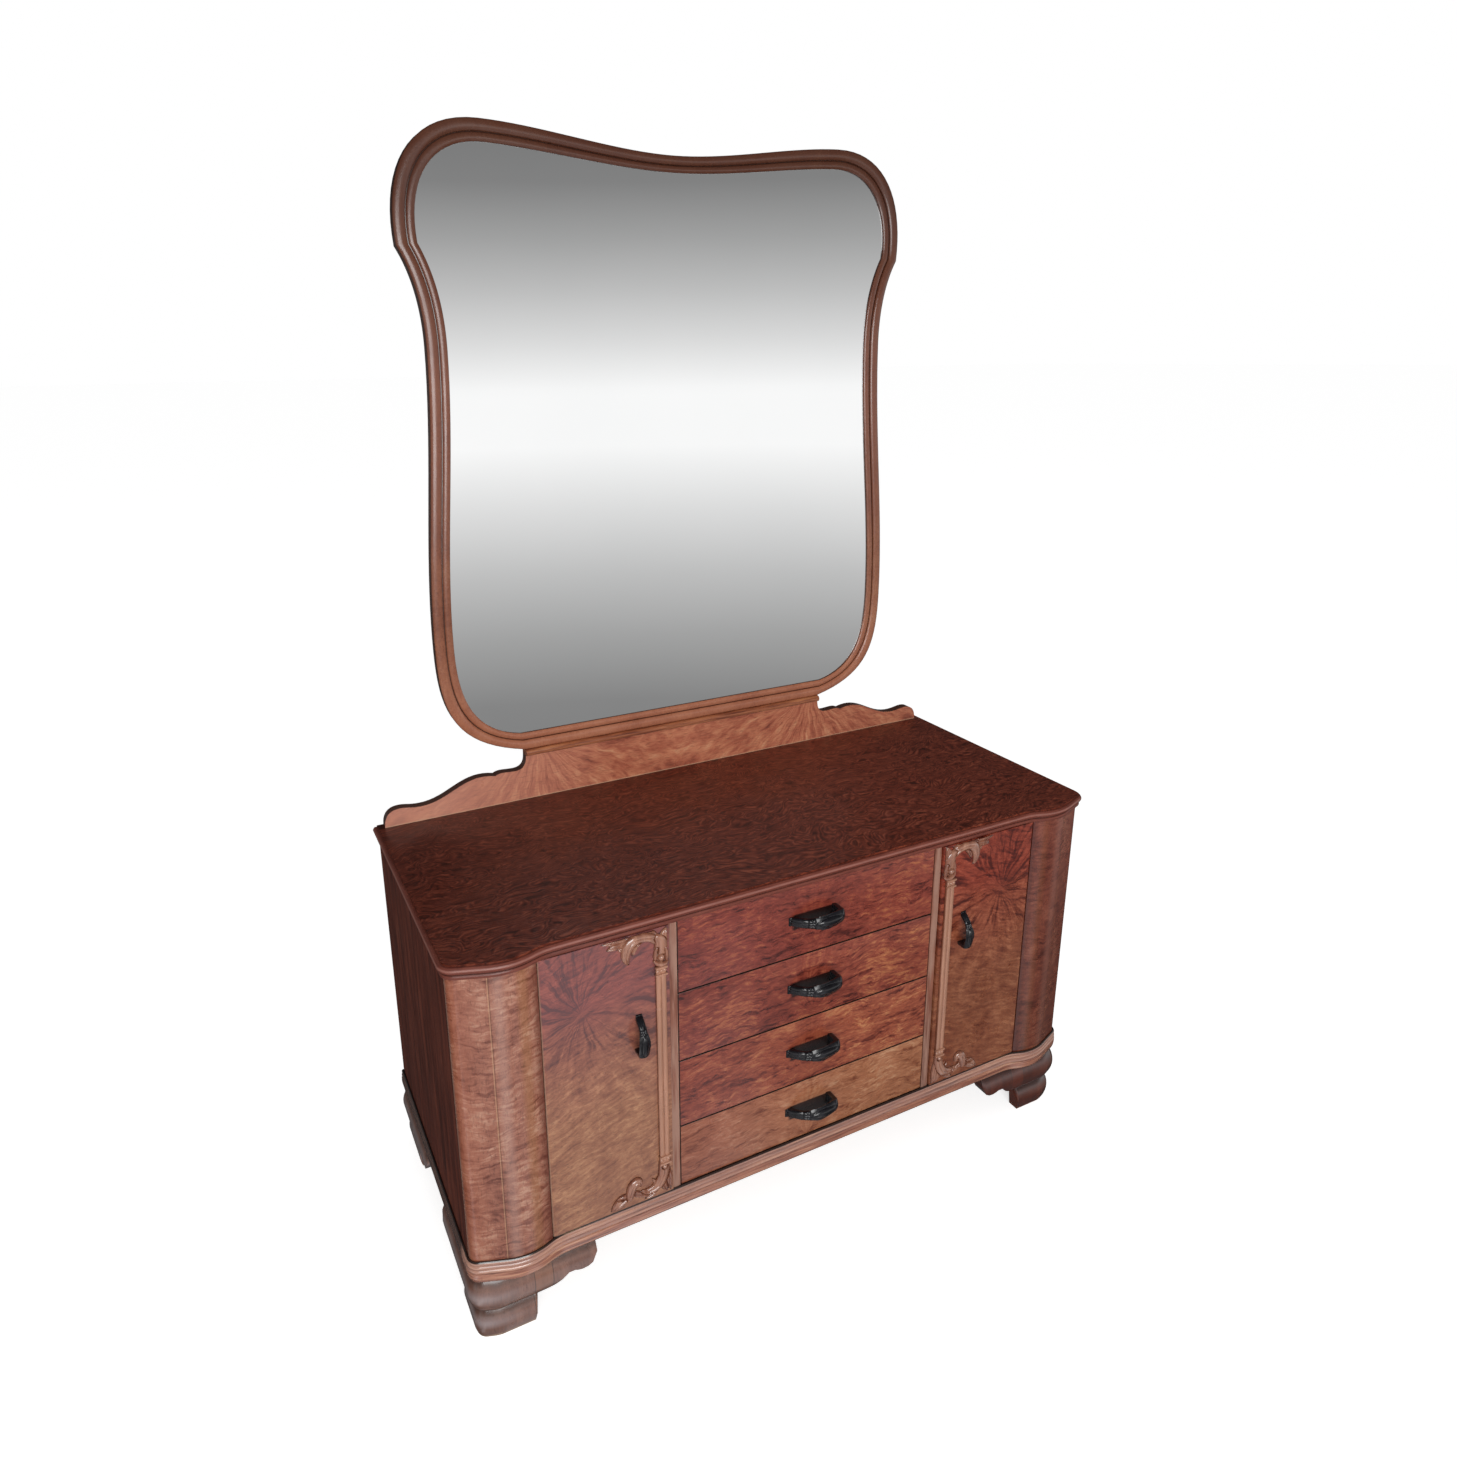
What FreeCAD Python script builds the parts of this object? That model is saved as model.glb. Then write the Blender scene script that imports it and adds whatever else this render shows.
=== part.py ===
# A walnut-veneered dressing chest: four drawers between two cupboards, serpentine corner columns,
# a moulded top and base on ogee bracket feet, and a shaped mirror standing on a low gallery.
# Millimetres.  X runs to the right seen from the front, Y to the back, Z up from the floor.
import FreeCAD
import Part
import math
import os

Vector = FreeCAD.Vector
UP = Vector(0, 0, 1)
BACKWARD = Vector(0, 1, 0)

# Chest as a whole
body_width = 1234.0         # outside the two side panels
front_depth = 512.5         # from the back to the plane of the carcass front
foot_height = 117.0
base_height = 40.5
carcass_height = 509.5      # from the base frame to the underside of the top
top_thickness = 23.0

# Serpentine corner, seen from above: a hollow, a swelling, a short straight slope and a turned corner
swell_radius = 96.0
swell_turn = 20.8           # degrees that the hollow turns forward from the straight front
slope_turn = 20.0           # degrees that the slope falls back towards the side
slope_length = 45.0
corner_radius = 18.0

# Carcass boards
side_thickness = 18.0
partition_thickness = 14.5
bottom_thickness = 18.0
board_setback = 1.0         # bottom board's front edge, behind the doors and drawer fronts
back_thickness = 5.0
column_thickness = 26.5     # the column's back face, behind the carcass front
column_width = 129.5        # from the chest's side to the column's inner edge
shelf_thickness = 16.0
shelf_setback = 40.0        # shelf's front edge, behind the carcass front
cleat_width = 14.0
cleat_height = 20.0
cleat_inset = 20.0          # cleat's front end, behind the shelf's front edge

# Drawers
drawer_width = 512.0
lower_space = 119.0
third_space = 128.5
second_space = 129.0         # the upper drawer has the rest of the height
drawer_gap = 1.4            # between two drawer fronts
drawer_side_gap = 1.2       # between a drawer front and the partition
drawer_front_thickness = 16.0
drawer_box_thickness = 10.0
drawer_box_gap = 0.7        # between the drawer box and the partition
drawer_box_length = 440.0
drawer_top_clearance = 4.0
drawer_back_drop = 8.0      # drawer back's top edge, below the sides
drawer_bottom_thickness = 5.0
drawer_bottom_rise = 8.0
running_gap = 0.3
runner_height = 13.0
runner_width = 16.0
runner_end_gap = 12.0

# Doors
door_thickness = 22.0
door_projection = 5.0       # door face, in front of the carcass front
door_inner_gap = 1.5
door_outer_gap = 1.5
door_end_gap = 1.2          # above and below the door
door_edge_radius = 4.0
bead_width = 17.5
bead_height = 6.0
bead_fullness = 0.8        # how nearly each reed is a half round
bead_inset = 7.5            # bead's edge, in from the door's inner edge
capital_width = 20.0
capital_height = 16.0
capital_projection = 8.0
bead_lower_end = 66.0       # capital's foot above the door's bottom edge
bead_upper_end = 65.5       # capital's head below the door's top edge

# Pivot hinges, let into the door's ends
pivot_inset = 5.0           # pin centre from the door's outer edge and from its face
pin_diameter = 5.0
pin_clearance = 0.1         # round the pin in its plate
pin_room = 0.6              # round the pin in the door's wood
pin_reach = 9.0             # how far the pin enters the door
plate_length = 44.0
plate_width = 7.0
plate_thickness = 2.5

# Pulls
drawer_pull_length = 99.0
drawer_pull_width = 28.0
drawer_pull_standoff = 36.0
drawer_pull_rise = 3.5      # pull's centre line, above the middle of the drawer front
door_pull_length = 70.0
door_pull_width = 20.0
door_pull_standoff = 27.0
door_pull_inset = 54.5      # pull's centre line, in from the door's inner edge
door_pull_height = 329.0    # pull's centre above the door's bottom edge
pull_thickness_share = 0.3  # bar's thickness in its middle, as a share of its width
pull_foot_share = 0.13      # footing of the fan and of the leg on the face, as a share of the length

# Door catches
catch_length = 40.0
catch_width = 12.0
catch_thickness = 10.0
catch_drop = 31.5           # catch's top, below the top board

# Feet
foot_bend_radius = 60.0     # the feet's own plan bends from the straight front to the slope
foot_slope_length = 10.0
foot_corner_radius = 22.0
foot_pad_width = 95.0       # pad's inner edge, in from the outer corner
foot_pad_height = 50.0
foot_lobe_reach = 35.0      # the first lobe's middle, in from the pad
foot_lobe_drop = 19.0       # the first lobe's middle, below the notch
foot_notch_start = 57.0     # notch between the two lobes, in from the pad
foot_notch_height = 80.0
foot_wing_length = 203.0    # wing's end, in from the outer corner
foot_end_lobe = 40.0        # length of the rounded lobe at the wing's end
foot_end_drop = 3.0         # the end lobe's lowest part, below the notch
foot_end_rise = 18.0        # the end lobe's top, above the notch
foot_wall = 25.0            # wall behind the ogee face
foot_side_start = 520.0     # the side wing is measured from this depth

# Gallery and mirror
gallery_half_length = 607.0
gallery_thickness = 19.0
gallery_height = 88.5       # straight middle part, above the top
rest_half_length = 334.0
rest_height = 13.0
rest_projection = 20.0
mirror_frame_thickness = 22.0
glass_thickness = 4.0
glass_setback = 7.0         # glass face, behind the frame's face
rebate_share = 0.25         # frame's lip over the glass, as a share of the frame's width
glass_share = 0.23          # glass edge, as a share of the frame's width
backing_thickness = 5.0
frame_fall = 3.5            # frame's face falls this much to its edges
crown_share = 0.5           # crown line, as a share of the frame's width
batten_width = 45.0
batten_thickness = 18.0
batten_spacing = 460.0
batten_foot = 420.0         # batten's lower end above the floor
batten_length = 1000.0

# Levels and lines worked out from the sizes above
half_width = body_width / 2
base_top = foot_height + base_height
top_underside = base_top + carcass_height
top_surface = top_underside + top_thickness
inner_half_width = half_width - side_thickness
board_top = base_top + bottom_thickness
drawer_face = -front_depth
partition_inner = drawer_width / 2 + drawer_side_gap
partition_outer = partition_inner + partition_thickness
door_inner = partition_outer + door_inner_gap
column_inner = half_width - column_width
door_outer = column_inner - door_outer_gap
door_face = -front_depth - door_projection
door_back = door_face + door_thickness
door_bottom = base_top + door_end_gap
door_top = top_underside - door_end_gap
column_back = -front_depth + column_thickness
board_front = max(door_back, drawer_face + drawer_front_thickness) + board_setback
pivot_x = door_outer - pivot_inset
pivot_y = door_face + pivot_inset
mirror_bottom = top_surface + gallery_height + rest_height
overall_front = min(door_face - door_pull_standoff, drawer_face - drawer_pull_standoff)

# The part's origin is the middle of its footprint, so every piece moves forward by this much.
origin_shift = Vector(0, -(overall_front + batten_thickness) / 2, 0)

os.makedirs("parts", exist_ok=True)


def save(name, *solids):
    """Write one node: a single solid, or a group of like solids."""
    shape = solids[0] if len(solids) == 1 else Part.makeCompound(list(solids))
    shape = shape.copy()
    shape.translate(origin_shift)
    shape.exportStep("parts/" + name + ".step")


def block(x0, x1, y0, y1, z0, z1):
    """A straight board between two corners."""
    return Part.makeBox(x1 - x0, y1 - y0, z1 - z0, Vector(x0, y0, z0))


def other_side(shape):
    """The same piece on the other side of the chest."""
    return shape.mirror(Vector(0, 0, 0), Vector(1, 0, 0))


def on_side(shape, side):
    """The right-hand piece, or its mirror image for the left."""
    return shape if side == "right" else other_side(shape)


def toward(degrees):
    """The direction in plan at an angle from +X towards +Y."""
    return Vector(math.cos(math.radians(degrees)), math.sin(math.radians(degrees)), 0)


def line(start, end):
    return Part.LineSegment(start, end).toShape()


def curve(start, start_handle, end_handle, end):
    """A smooth curve that leaves and arrives along its two handles."""
    bezier = Part.BezierCurve()
    bezier.setPoles([start, start_handle, end_handle, end])
    return bezier.toShape()


def extrude_wire(edges, direction):
    """The solid made by moving the area inside some joined edges."""
    wire = Part.Wire(Part.__sortEdges__(edges))
    return Part.Face(wire).extrude(direction)


def polygon(points, direction):
    """The solid made by moving a straight-sided area."""
    return Part.Face(Part.makePolygon(list(points) + [points[0]])).extrude(direction)


# Plan lines, as moves from the straight front to the side: the length of a straight, or the turn and its radius
serpentine = (
    (None, -swell_turn, swell_radius),
    (None, swell_turn + slope_turn, swell_radius),
    (slope_length, 0, None),
    (None, 90 - slope_turn, corner_radius),
)
foot_plan = (
    (None, slope_turn, foot_bend_radius),
    (foot_slope_length, 0, None),
    (None, 90 - slope_turn, foot_corner_radius),
)


def plan_steps(moves):
    """The right half of a plan line, from the middle of the front to the back corner.

    A straight front leads to the moves. Each step is its start, its heading there, its end, and the centre and angle
    of its turn (None and 0 if straight).
    """
    steps = []
    front_middle = Vector(0, -front_depth, 0)
    place = front_middle
    heading = 0.0
    for length, turn, radius in moves:
        centre = None
        if turn:
            side = toward(heading + 90) * math.copysign(radius, turn)
            centre = place + side
            end = centre - toward(heading + turn + 90) * math.copysign(radius, turn)
        else:
            end = place + toward(heading) * length
        steps.append((place, heading, end, centre, turn))
        place = end
        heading += turn
    straight = Vector(half_width - place.x, 0, 0)
    moved = [(front_middle, 0.0, front_middle + straight, None, 0)]
    for start, start_heading, end, centre, turn in steps:
        moved.append((start + straight, start_heading, end + straight, centre + straight if turn else None, turn))
    moved.append((place + straight, heading, Vector(half_width, 0, 0), None, 0))
    return moved


def plan_edges(z, out, moves):
    """The whole plan line at a level, moved outward, from the back left corner round the front to the back right."""
    edges = []
    for start, heading, end, centre, turn in plan_steps(moves):
        start = start + toward(heading - 90) * out
        end = end + toward(heading + turn - 90) * out
        if turn:
            radius = start - centre
            middle = centre + FreeCAD.Rotation(UP, turn / 2).multVec(radius)
            edge = Part.Arc(start, middle, end).toShape()
        else:
            edge = line(start, end)
        edge.translate(UP * z)
        edges.append(edge)
        edges.append(other_side(edge))
    return edges


def plan_back(z, out):
    """The back edge of the plan at a level, with the plan moved outward."""
    return line(Vector(half_width + out, 0, z), Vector(-half_width - out, 0, z))


def plan_face(z, out=0, moves=serpentine):
    """The plan's area at a level, with the plan line moved outward."""
    return Part.Face(Part.Wire(Part.__sortEdges__(plan_edges(z, out, moves) + [plan_back(z, out)])))


def moulded_slab(z_top, profile, moves=serpentine):
    """A slab whose front and sides carry a moulding.

    The profile's points are (outward from the plan line, up from z_top), from the top edge to the bottom edge.
    A point marked round is the middle of an arc.
    """
    def profile_edges(place, outward):
        edges = []
        corners = [place + outward * point[0] + UP * (z_top + point[1]) for point in profile]
        index = 0
        while index < len(profile) - 1:
            if len(profile[index + 1]) == 3:
                edges.append(Part.Arc(*corners[index:index + 3]).toShape())
                index += 2
            else:
                edges.append(line(corners[index], corners[index + 1]))
                index += 1
        return edges

    faces = []
    for start, heading, end, centre, turn in plan_steps(moves):
        for edge in profile_edges(start, toward(heading - 90)):
            face = edge.revolve(centre, UP, turn) if turn else edge.extrude(end - start)
            faces += [face, other_side(face)]
    corner = Vector(half_width, 0, 0)
    back = profile_edges(corner, Vector(1, 0, 0))
    back += [other_side(edge) for edge in back]
    for out, up in (profile[0], profile[-1]):
        faces.append(plan_face(z_top + up, out, moves))
        back.append(plan_back(z_top + up, out))
    faces.append(Part.Face(Part.Wire(Part.__sortEdges__(back))))
    shell = Part.makeShell(faces)
    shell.sewShape()
    solid = Part.Solid(Part.Shell(shell.Faces)).removeSplitter()
    if solid.Volume < 0:
        solid.reverse()
    return solid


# Top board: a thin fillet, a full round nose, a step and a small bead
top_profile = [
    (2, 0), (2, -2.5), (6, -2.5), (9.5, -8.25, "round"), (6, -14), (4, -14), (4, -16), (6, -17.5), (6, -21.5),
    (4.5, -top_thickness),
]

# Base frame: three reeds, squared off as steps, above a round that is drawn in to the feet
base_profile = [
    (4.5, 0), (4.5, -7.2), (5.3, -7.2), (5.3, -14.4), (6, -14.4), (6, -21.5), (4.5, -32, "round"), (0.5, -base_height),
]

# Foot: a full shoulder below a narrow neck, a crease, and a cushion that spreads to the floor.
# Each swelling is an even curve through its start, its middle and its end, each a projection and a depth.
foot_swellings = [
    [(-1, 0), (7.6, -38), (-2, -66)],
    [(-6.5, -68), (0.2, -90), (1, -foot_height)],
]
swelling_facets = 4
foot_profile = []
for start, middle, end in foot_swellings:
    for step in range(swelling_facets + 1):
        share = step / swelling_facets
        weights = ((1 - share) * (1 - 2 * share), 4 * share * (1 - share), share * (2 * share - 1))
        foot_profile.append(tuple(
            sum(weight * point[axis] for weight, point in zip(weights, (start, middle, end))) for axis in (0, 1)))


def pivot_plate(z0, z1):
    """One pivot plate, from just past its pin towards the door's inner edge."""
    half = plate_width / 2
    return block(pivot_x + half - plate_length, pivot_x + half, pivot_y - half, pivot_y + half, z0, z1)


def pivot_levels():
    """For each end of the door: the carcass plate, the door plate and the pin, as pairs of levels."""
    return (
        (base_top - plate_thickness, base_top, door_bottom, door_bottom + plate_thickness,
         base_top - plate_thickness, door_bottom + pin_reach),
        (top_underside, top_underside + plate_thickness, door_top - plate_thickness, door_top,
         door_top - pin_reach, top_underside + plate_thickness),
    )


def pivot_bore(z0, z1, clearance):
    return Part.makeCylinder(pin_diameter / 2 + clearance, z1 - z0, Vector(pivot_x, pivot_y, z0))


# Moulded top, with the upper pivot plates let into its underside
top_board = moulded_slab(top_surface, top_profile)
for side in ("left", "right"):
    top_board = top_board.cut(on_side(pivot_plate(*pivot_levels()[1][0:2]), side))
save("top_board", top_board)

# Base frame: a moulded front rail with the serpentine corners, two side rails and a plain rear rail
base_slab = moulded_slab(base_top, base_profile)
rail_inner = half_width - column_thickness - side_thickness
rail_front_inner = column_back + column_thickness
rear_rail_front = -column_thickness - side_thickness
far = half_width * 2
front_rail = base_slab.common(block(-far, far, -far, rail_front_inner, 0, base_top))
for side in ("left", "right"):
    front_rail = front_rail.cut(on_side(pivot_plate(*pivot_levels()[0][0:2]), side))
save("base_rail_front", front_rail)
side_rail = base_slab.common(block(rail_inner, far, rail_front_inner, 0, 0, base_top))
save("base_rail_right", side_rail)
save("base_rail_left", other_side(side_rail))
save("base_rail_rear", block(-rail_inner, rail_inner, rear_rail_front, 0, foot_height, base_top))


# Ogee bracket feet
def bracket_outline(length_from, direction, plane, thickness):
    """The bracket's elevation, cut right through: pad, a lobe, a notch, and a lobe at the wing's end.

    It starts at the outer corner, length_from along the wall, and runs along direction.
    """
    def at(run, height):
        return plane + direction * (length_from + run) + UP * height

    wing = foot_wing_length
    pad = foot_pad_width
    notch = foot_notch_height
    slant = foot_pad_height / 8
    lobe = wing - foot_end_lobe
    edges = [
        line(at(-wing, 0), at(pad, 0)),
        line(at(pad, 0), at(pad + slant, foot_pad_height)),
        Part.Arc(at(pad + slant, foot_pad_height), at(pad + foot_lobe_reach, notch - foot_lobe_drop),
                 at(pad + foot_notch_start, notch)).toShape(),
        line(at(pad + foot_notch_start, notch), at(lobe, notch)),
        Part.Arc(at(lobe, notch), at(lobe + foot_end_lobe * 0.6, notch - foot_end_drop),
                 at(wing, notch + foot_end_rise)).toShape(),
        line(at(wing, notch + foot_end_rise), at(wing, foot_height)),
        line(at(wing, foot_height), at(-wing, foot_height)),
        line(at(-wing, foot_height), at(-wing, 0)),
    ]
    return extrude_wire(edges, thickness)


foot_slab = moulded_slab(foot_height, foot_profile, foot_plan)
x_wall = half_width - foot_wall
y_wall = -front_depth + foot_wall
front_wing = bracket_outline(-half_width, Vector(-1, 0, 0), Vector(0, -far, 0), BACKWARD * (far + y_wall))
side_wing = bracket_outline(-foot_side_start, BACKWARD, Vector(x_wall, 0, 0), Vector(far, 0, 0))
rear_wing = bracket_outline(0, -BACKWARD, Vector(x_wall, 0, 0), Vector(far, 0, 0))
rear_block = block(half_width - foot_pad_width, far, -foot_wall, 0, 0, foot_height)
front_foot = foot_slab.common(front_wing).fuse(foot_slab.common(side_wing)).removeSplitter()
rear_foot = foot_slab.common(rear_wing).fuse(foot_slab.common(rear_block)).removeSplitter()
for side in ("left", "right"):
    save("front_foot_" + side, on_side(front_foot, side))
    save("rear_foot_" + side, on_side(rear_foot, side))

# Carcass: sides, corner columns, partitions, bottom, back
corner_column = plan_face(base_top).extrude(UP * carcass_height).common(
    block(column_inner, far, -far, column_back, base_top, top_underside))
side_panel = block(inner_half_width, half_width, column_back, 0, base_top, top_underside)
partition_outline = [
    Vector(partition_inner, -front_depth, base_top), Vector(partition_inner, board_front, base_top),
    Vector(partition_inner, board_front, board_top), Vector(partition_inner, -back_thickness, board_top),
    Vector(partition_inner, -back_thickness, top_underside), Vector(partition_inner, -front_depth, top_underside),
]
partition = polygon(partition_outline, Vector(partition_thickness, 0, 0))
for side in ("left", "right"):
    save("corner_column_" + side, on_side(corner_column, side))
    save("side_panel_" + side, on_side(side_panel, side))
    save("partition_" + side, on_side(partition, side))
bottom_outline = [
    Vector(-inner_half_width, -back_thickness, base_top), Vector(inner_half_width, -back_thickness, base_top),
    Vector(inner_half_width, column_back, base_top), Vector(column_inner, column_back, base_top),
    Vector(column_inner, board_front, base_top), Vector(-column_inner, board_front, base_top),
    Vector(-column_inner, column_back, base_top), Vector(-inner_half_width, column_back, base_top),
]
save("bottom_board", polygon(bottom_outline, UP * bottom_thickness))
save("back_panel", block(-inner_half_width, inner_half_width, -back_thickness, 0, base_top, top_underside))

# Cupboard shelves, each on a cleat at either end
shelf_bottom = (board_top + top_underside - shelf_thickness) / 2
shelf_front = -front_depth + shelf_setback
shelf = block(partition_outer, inner_half_width, shelf_front, -back_thickness, shelf_bottom,
              shelf_bottom + shelf_thickness)
cleats = []
for x in (partition_outer, inner_half_width - cleat_width):
    cleat = block(x, x + cleat_width, shelf_front + cleat_inset, -back_thickness, shelf_bottom - cleat_height,
                  shelf_bottom)
    cleats += [cleat, other_side(cleat)]
for side in ("left", "right"):
    save("shelf_" + side, on_side(shelf, side))
save("shelf_cleats", *cleats)

# Door catches on the partitions, just behind the closed doors
catch = block(partition_outer, partition_outer + catch_thickness, door_back + running_gap,
              door_back + running_gap + catch_width, top_underside - catch_drop - catch_length, top_underside - catch_drop)
save("door_catches", catch, other_side(catch))


def pull(length, width, standoff):
    """A pull along X on the plane Y = 0: a three-lobed fan that rises from the face, then a long leaf on a leg.

    It is the part that its side view and its front view have in common.
    """
    end = length / 2
    foot = 2 * pull_foot_share
    inner_rise = 0.98 - width * pull_thickness_share / standoff

    def side_at(run, height):
        return Vector(end * run, -standoff * height, -width)

    bar = extrude_wire([
        Part.Arc(side_at(-1, 0), side_at(0, 0.98), side_at(0.76, 0.9)).toShape(),
        Part.Arc(side_at(0.76, 0.9), side_at(0.94, 0.76), side_at(1, 0.5)).toShape(),
        line(side_at(1, 0.5), side_at(1, 0)),
        line(side_at(1, 0), side_at(1 - foot, 0)),
        line(side_at(1 - foot, 0), side_at(1 - foot, 0.55)),
        Part.Arc(side_at(1 - foot, 0.55), side_at(0, inner_rise), side_at(foot - 1, 0)).toShape(),
        line(side_at(foot - 1, 0), side_at(-1, 0)),
    ], UP * 2 * width)

    def front_at(run, share):
        return Vector(end * run, -2 * standoff, width / 2 * share)

    lobes = (0.84, 0.56, 0.28, 0, -0.28, -0.56, -0.84)
    fan = [front_at(-0.94 if index % 2 == 0 else -1, share) for index, share in enumerate(lobes)]
    edges = [line(start, stop) for start, stop in zip(fan, fan[1:])]
    for up in (1, -1):
        edges.append(line(front_at(-0.94, 0.84 * up), front_at(-0.4, 0.62 * up)))
        edges.append(Part.Arc(front_at(-0.4, 0.62 * up), front_at(0.25, up), front_at(0.84, 0.86 * up)).toShape())
        edges.append(line(front_at(0.84, 0.86 * up), front_at(1, 0.56 * up)))
    edges.append(line(front_at(1, 0.56), front_at(1, -0.56)))
    return bar.common(extrude_wire(edges, BACKWARD * 3 * standoff))


# Drawers, from the lowest up, with their runners
runners = []
space_bottom = base_top
pull_for_drawer = pull(drawer_pull_length, drawer_pull_width, drawer_pull_standoff)
box_half = partition_inner - drawer_box_gap
front_back = drawer_face + drawer_front_thickness
box_back = front_back + drawer_box_length
upper_space = carcass_height - lower_space - third_space - second_space
drawer_spaces = {"lower": lower_space, "third": third_space, "second": second_space, "upper": upper_space}
for drawer, space in drawer_spaces.items():
    name = drawer + "_drawer_"
    low = space_bottom + drawer_gap / 2
    high = space_bottom + space - drawer_gap / 2
    side_low = space_bottom + bottom_thickness + running_gap
    side_high = space_bottom + space - drawer_top_clearance
    floor = side_low + drawer_bottom_rise
    inside = box_half - drawer_box_thickness
    save(name + "front", block(-drawer_width / 2, drawer_width / 2, drawer_face, front_back, low, high))
    drawer_side = block(inside, box_half, front_back, box_back, side_low, side_high)
    save(name + "sides", other_side(drawer_side), drawer_side)
    save(name + "back", block(-inside, inside, box_back - drawer_box_thickness, box_back, floor,
                              side_high - drawer_back_drop))
    save(name + "bottom", block(-inside, inside, front_back, box_back - drawer_box_thickness, floor,
                                floor + drawer_bottom_thickness))
    drawer_pull = pull_for_drawer.copy()
    drawer_pull.translate(Vector(0, drawer_face, (low + high) / 2 + drawer_pull_rise))
    save(name + "pull", drawer_pull)
    if drawer != "lower":
        runner_top = space_bottom + bottom_thickness
        runners.append(block(partition_inner - runner_width, partition_inner, front_back + running_gap,
                             -back_thickness - runner_end_gap, runner_top - runner_height, runner_top))
    space_bottom += space
save("drawer_runners_right", *runners)
save("drawer_runners_left", *[other_side(runner) for runner in runners])

# Doors: a veneered panel with a rounded outer edge, the reeded bead, the pull and the pivot hinges
door = block(door_inner, door_outer, door_face, door_back, door_bottom, door_top)
outer_edges = [edge for edge in door.Edges
               if abs(edge.CenterOfMass.x - door_outer) < running_gap
               and abs(edge.CenterOfMass.y - door_face) < running_gap]
door = door.makeFillet(door_edge_radius, outer_edges)
carcass_pivots = []
door_plates = []
for plate_low, plate_high, leaf_low, leaf_high, pin_low, pin_high in pivot_levels():
    pin = Part.makeCylinder(pin_diameter / 2, pin_high - pin_low, Vector(pivot_x, pivot_y, pin_low))
    carcass_pivots.append(pivot_plate(plate_low, plate_high).fuse(pin).removeSplitter())
    leaf = pivot_plate(leaf_low, leaf_high)
    door = door.cut(leaf).cut(pivot_bore(pin_low - pin_room, pin_high + pin_room, pin_room))
    door_plates.append(leaf.cut(pivot_bore(leaf_low, leaf_high, pin_clearance)))
bead_low = door_bottom + bead_lower_end
bead_high = door_top - bead_upper_end
bead_start = door_inner + bead_inset
reed = bead_width / 2


def bead_at(run, out):
    return Vector(bead_start + run, door_face - out, bead_low)


bead_root = bead_height - reed / 2 * bead_fullness
bead_edges = [
    line(bead_at(bead_width, 0), bead_at(0, 0)),
    line(bead_at(0, 0), bead_at(0, bead_root)),
    Part.Arc(bead_at(0, bead_root), bead_at(reed / 2, bead_height), bead_at(reed, bead_root)).toShape(),
    Part.Arc(bead_at(reed, bead_root), bead_at(reed * 1.5, bead_height), bead_at(bead_width, bead_root)).toShape(),
    line(bead_at(bead_width, bead_root), bead_at(bead_width, 0)),
]
bead = extrude_wire(bead_edges, UP * (bead_high - bead_low))
capital_x = bead_start + bead_width / 2
for level in (bead_low, bead_high - capital_height):
    capital = block(capital_x - capital_width / 2, capital_x + capital_width / 2, door_face - capital_projection,
                    door_face, level, level + capital_height)
    bead = bead.fuse(capital)
bead = bead.removeSplitter()
door_pull = pull(door_pull_length, door_pull_width, door_pull_standoff)
door_pull.rotate(Vector(0, 0, 0), BACKWARD, 90)
door_pull.translate(Vector(door_inner + door_pull_inset, door_face, door_bottom + door_pull_height))
for side in ("left", "right"):
    save(side + "_door_panel", on_side(door, side))
    save(side + "_door_bead", on_side(bead, side))
    save(side + "_door_pull", on_side(door_pull, side))
    save(side + "_pivot_pins", *[on_side(piece, side) for piece in carcass_pivots])
    save(side + "_pivot_plates", *[on_side(piece, side) for piece in door_plates])


# Gallery: a shaped board on the back of the top
def half_outline(stretches, y):
    """Edges of a right-hand half outline and its mirror image.

    A stretch is a straight line between two points, or a curve given by its start, two handles and end.
    """
    edges = []
    for points in stretches:
        vectors = [Vector(x, y, z) for x, z in points]
        edge = line(*vectors) if len(vectors) == 2 else curve(*vectors)
        edges.append(edge)
        edges.append(other_side(edge))
    return edges


level = top_surface
tip = gallery_half_length
gallery_edges = half_outline([
    [(0, level), (tip, level)],
    [(tip, level), (tip, level + 28), (tip - 17, level + 36), (tip - 43, level + 31)],
    [(tip - 43, level + 31), (tip - 118, level + 14), (tip - 140, level + 78), (tip - 211, level + 59)],
    [(tip - 211, level + 59), (tip - 230, level + 72), (rest_half_length, level + 42),
     (rest_half_length, level + gallery_height)],
    [(rest_half_length, level + gallery_height), (0, level + gallery_height)],
], -gallery_thickness)
save("gallery_board", extrude_wire(gallery_edges, BACKWARD * gallery_thickness))

# Mirror rest: a round-nosed strip on the gallery's middle
rest_low = top_surface + gallery_height


def rest_at(y, z):
    return Vector(-rest_half_length, y, rest_low + z)


rest_edges = [
    line(rest_at(0, 0), rest_at(-rest_projection, 0)),
    Part.Arc(rest_at(-rest_projection, 0), rest_at(-rest_projection - rest_height / 2, rest_height / 2),
             rest_at(-rest_projection, rest_height)).toShape(),
    line(rest_at(-rest_projection, rest_height), rest_at(0, rest_height)),
    line(rest_at(0, rest_height), rest_at(0, 0)),
]
save("mirror_rest", extrude_wire(rest_edges, Vector(2 * rest_half_length, 0, 0)))

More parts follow.
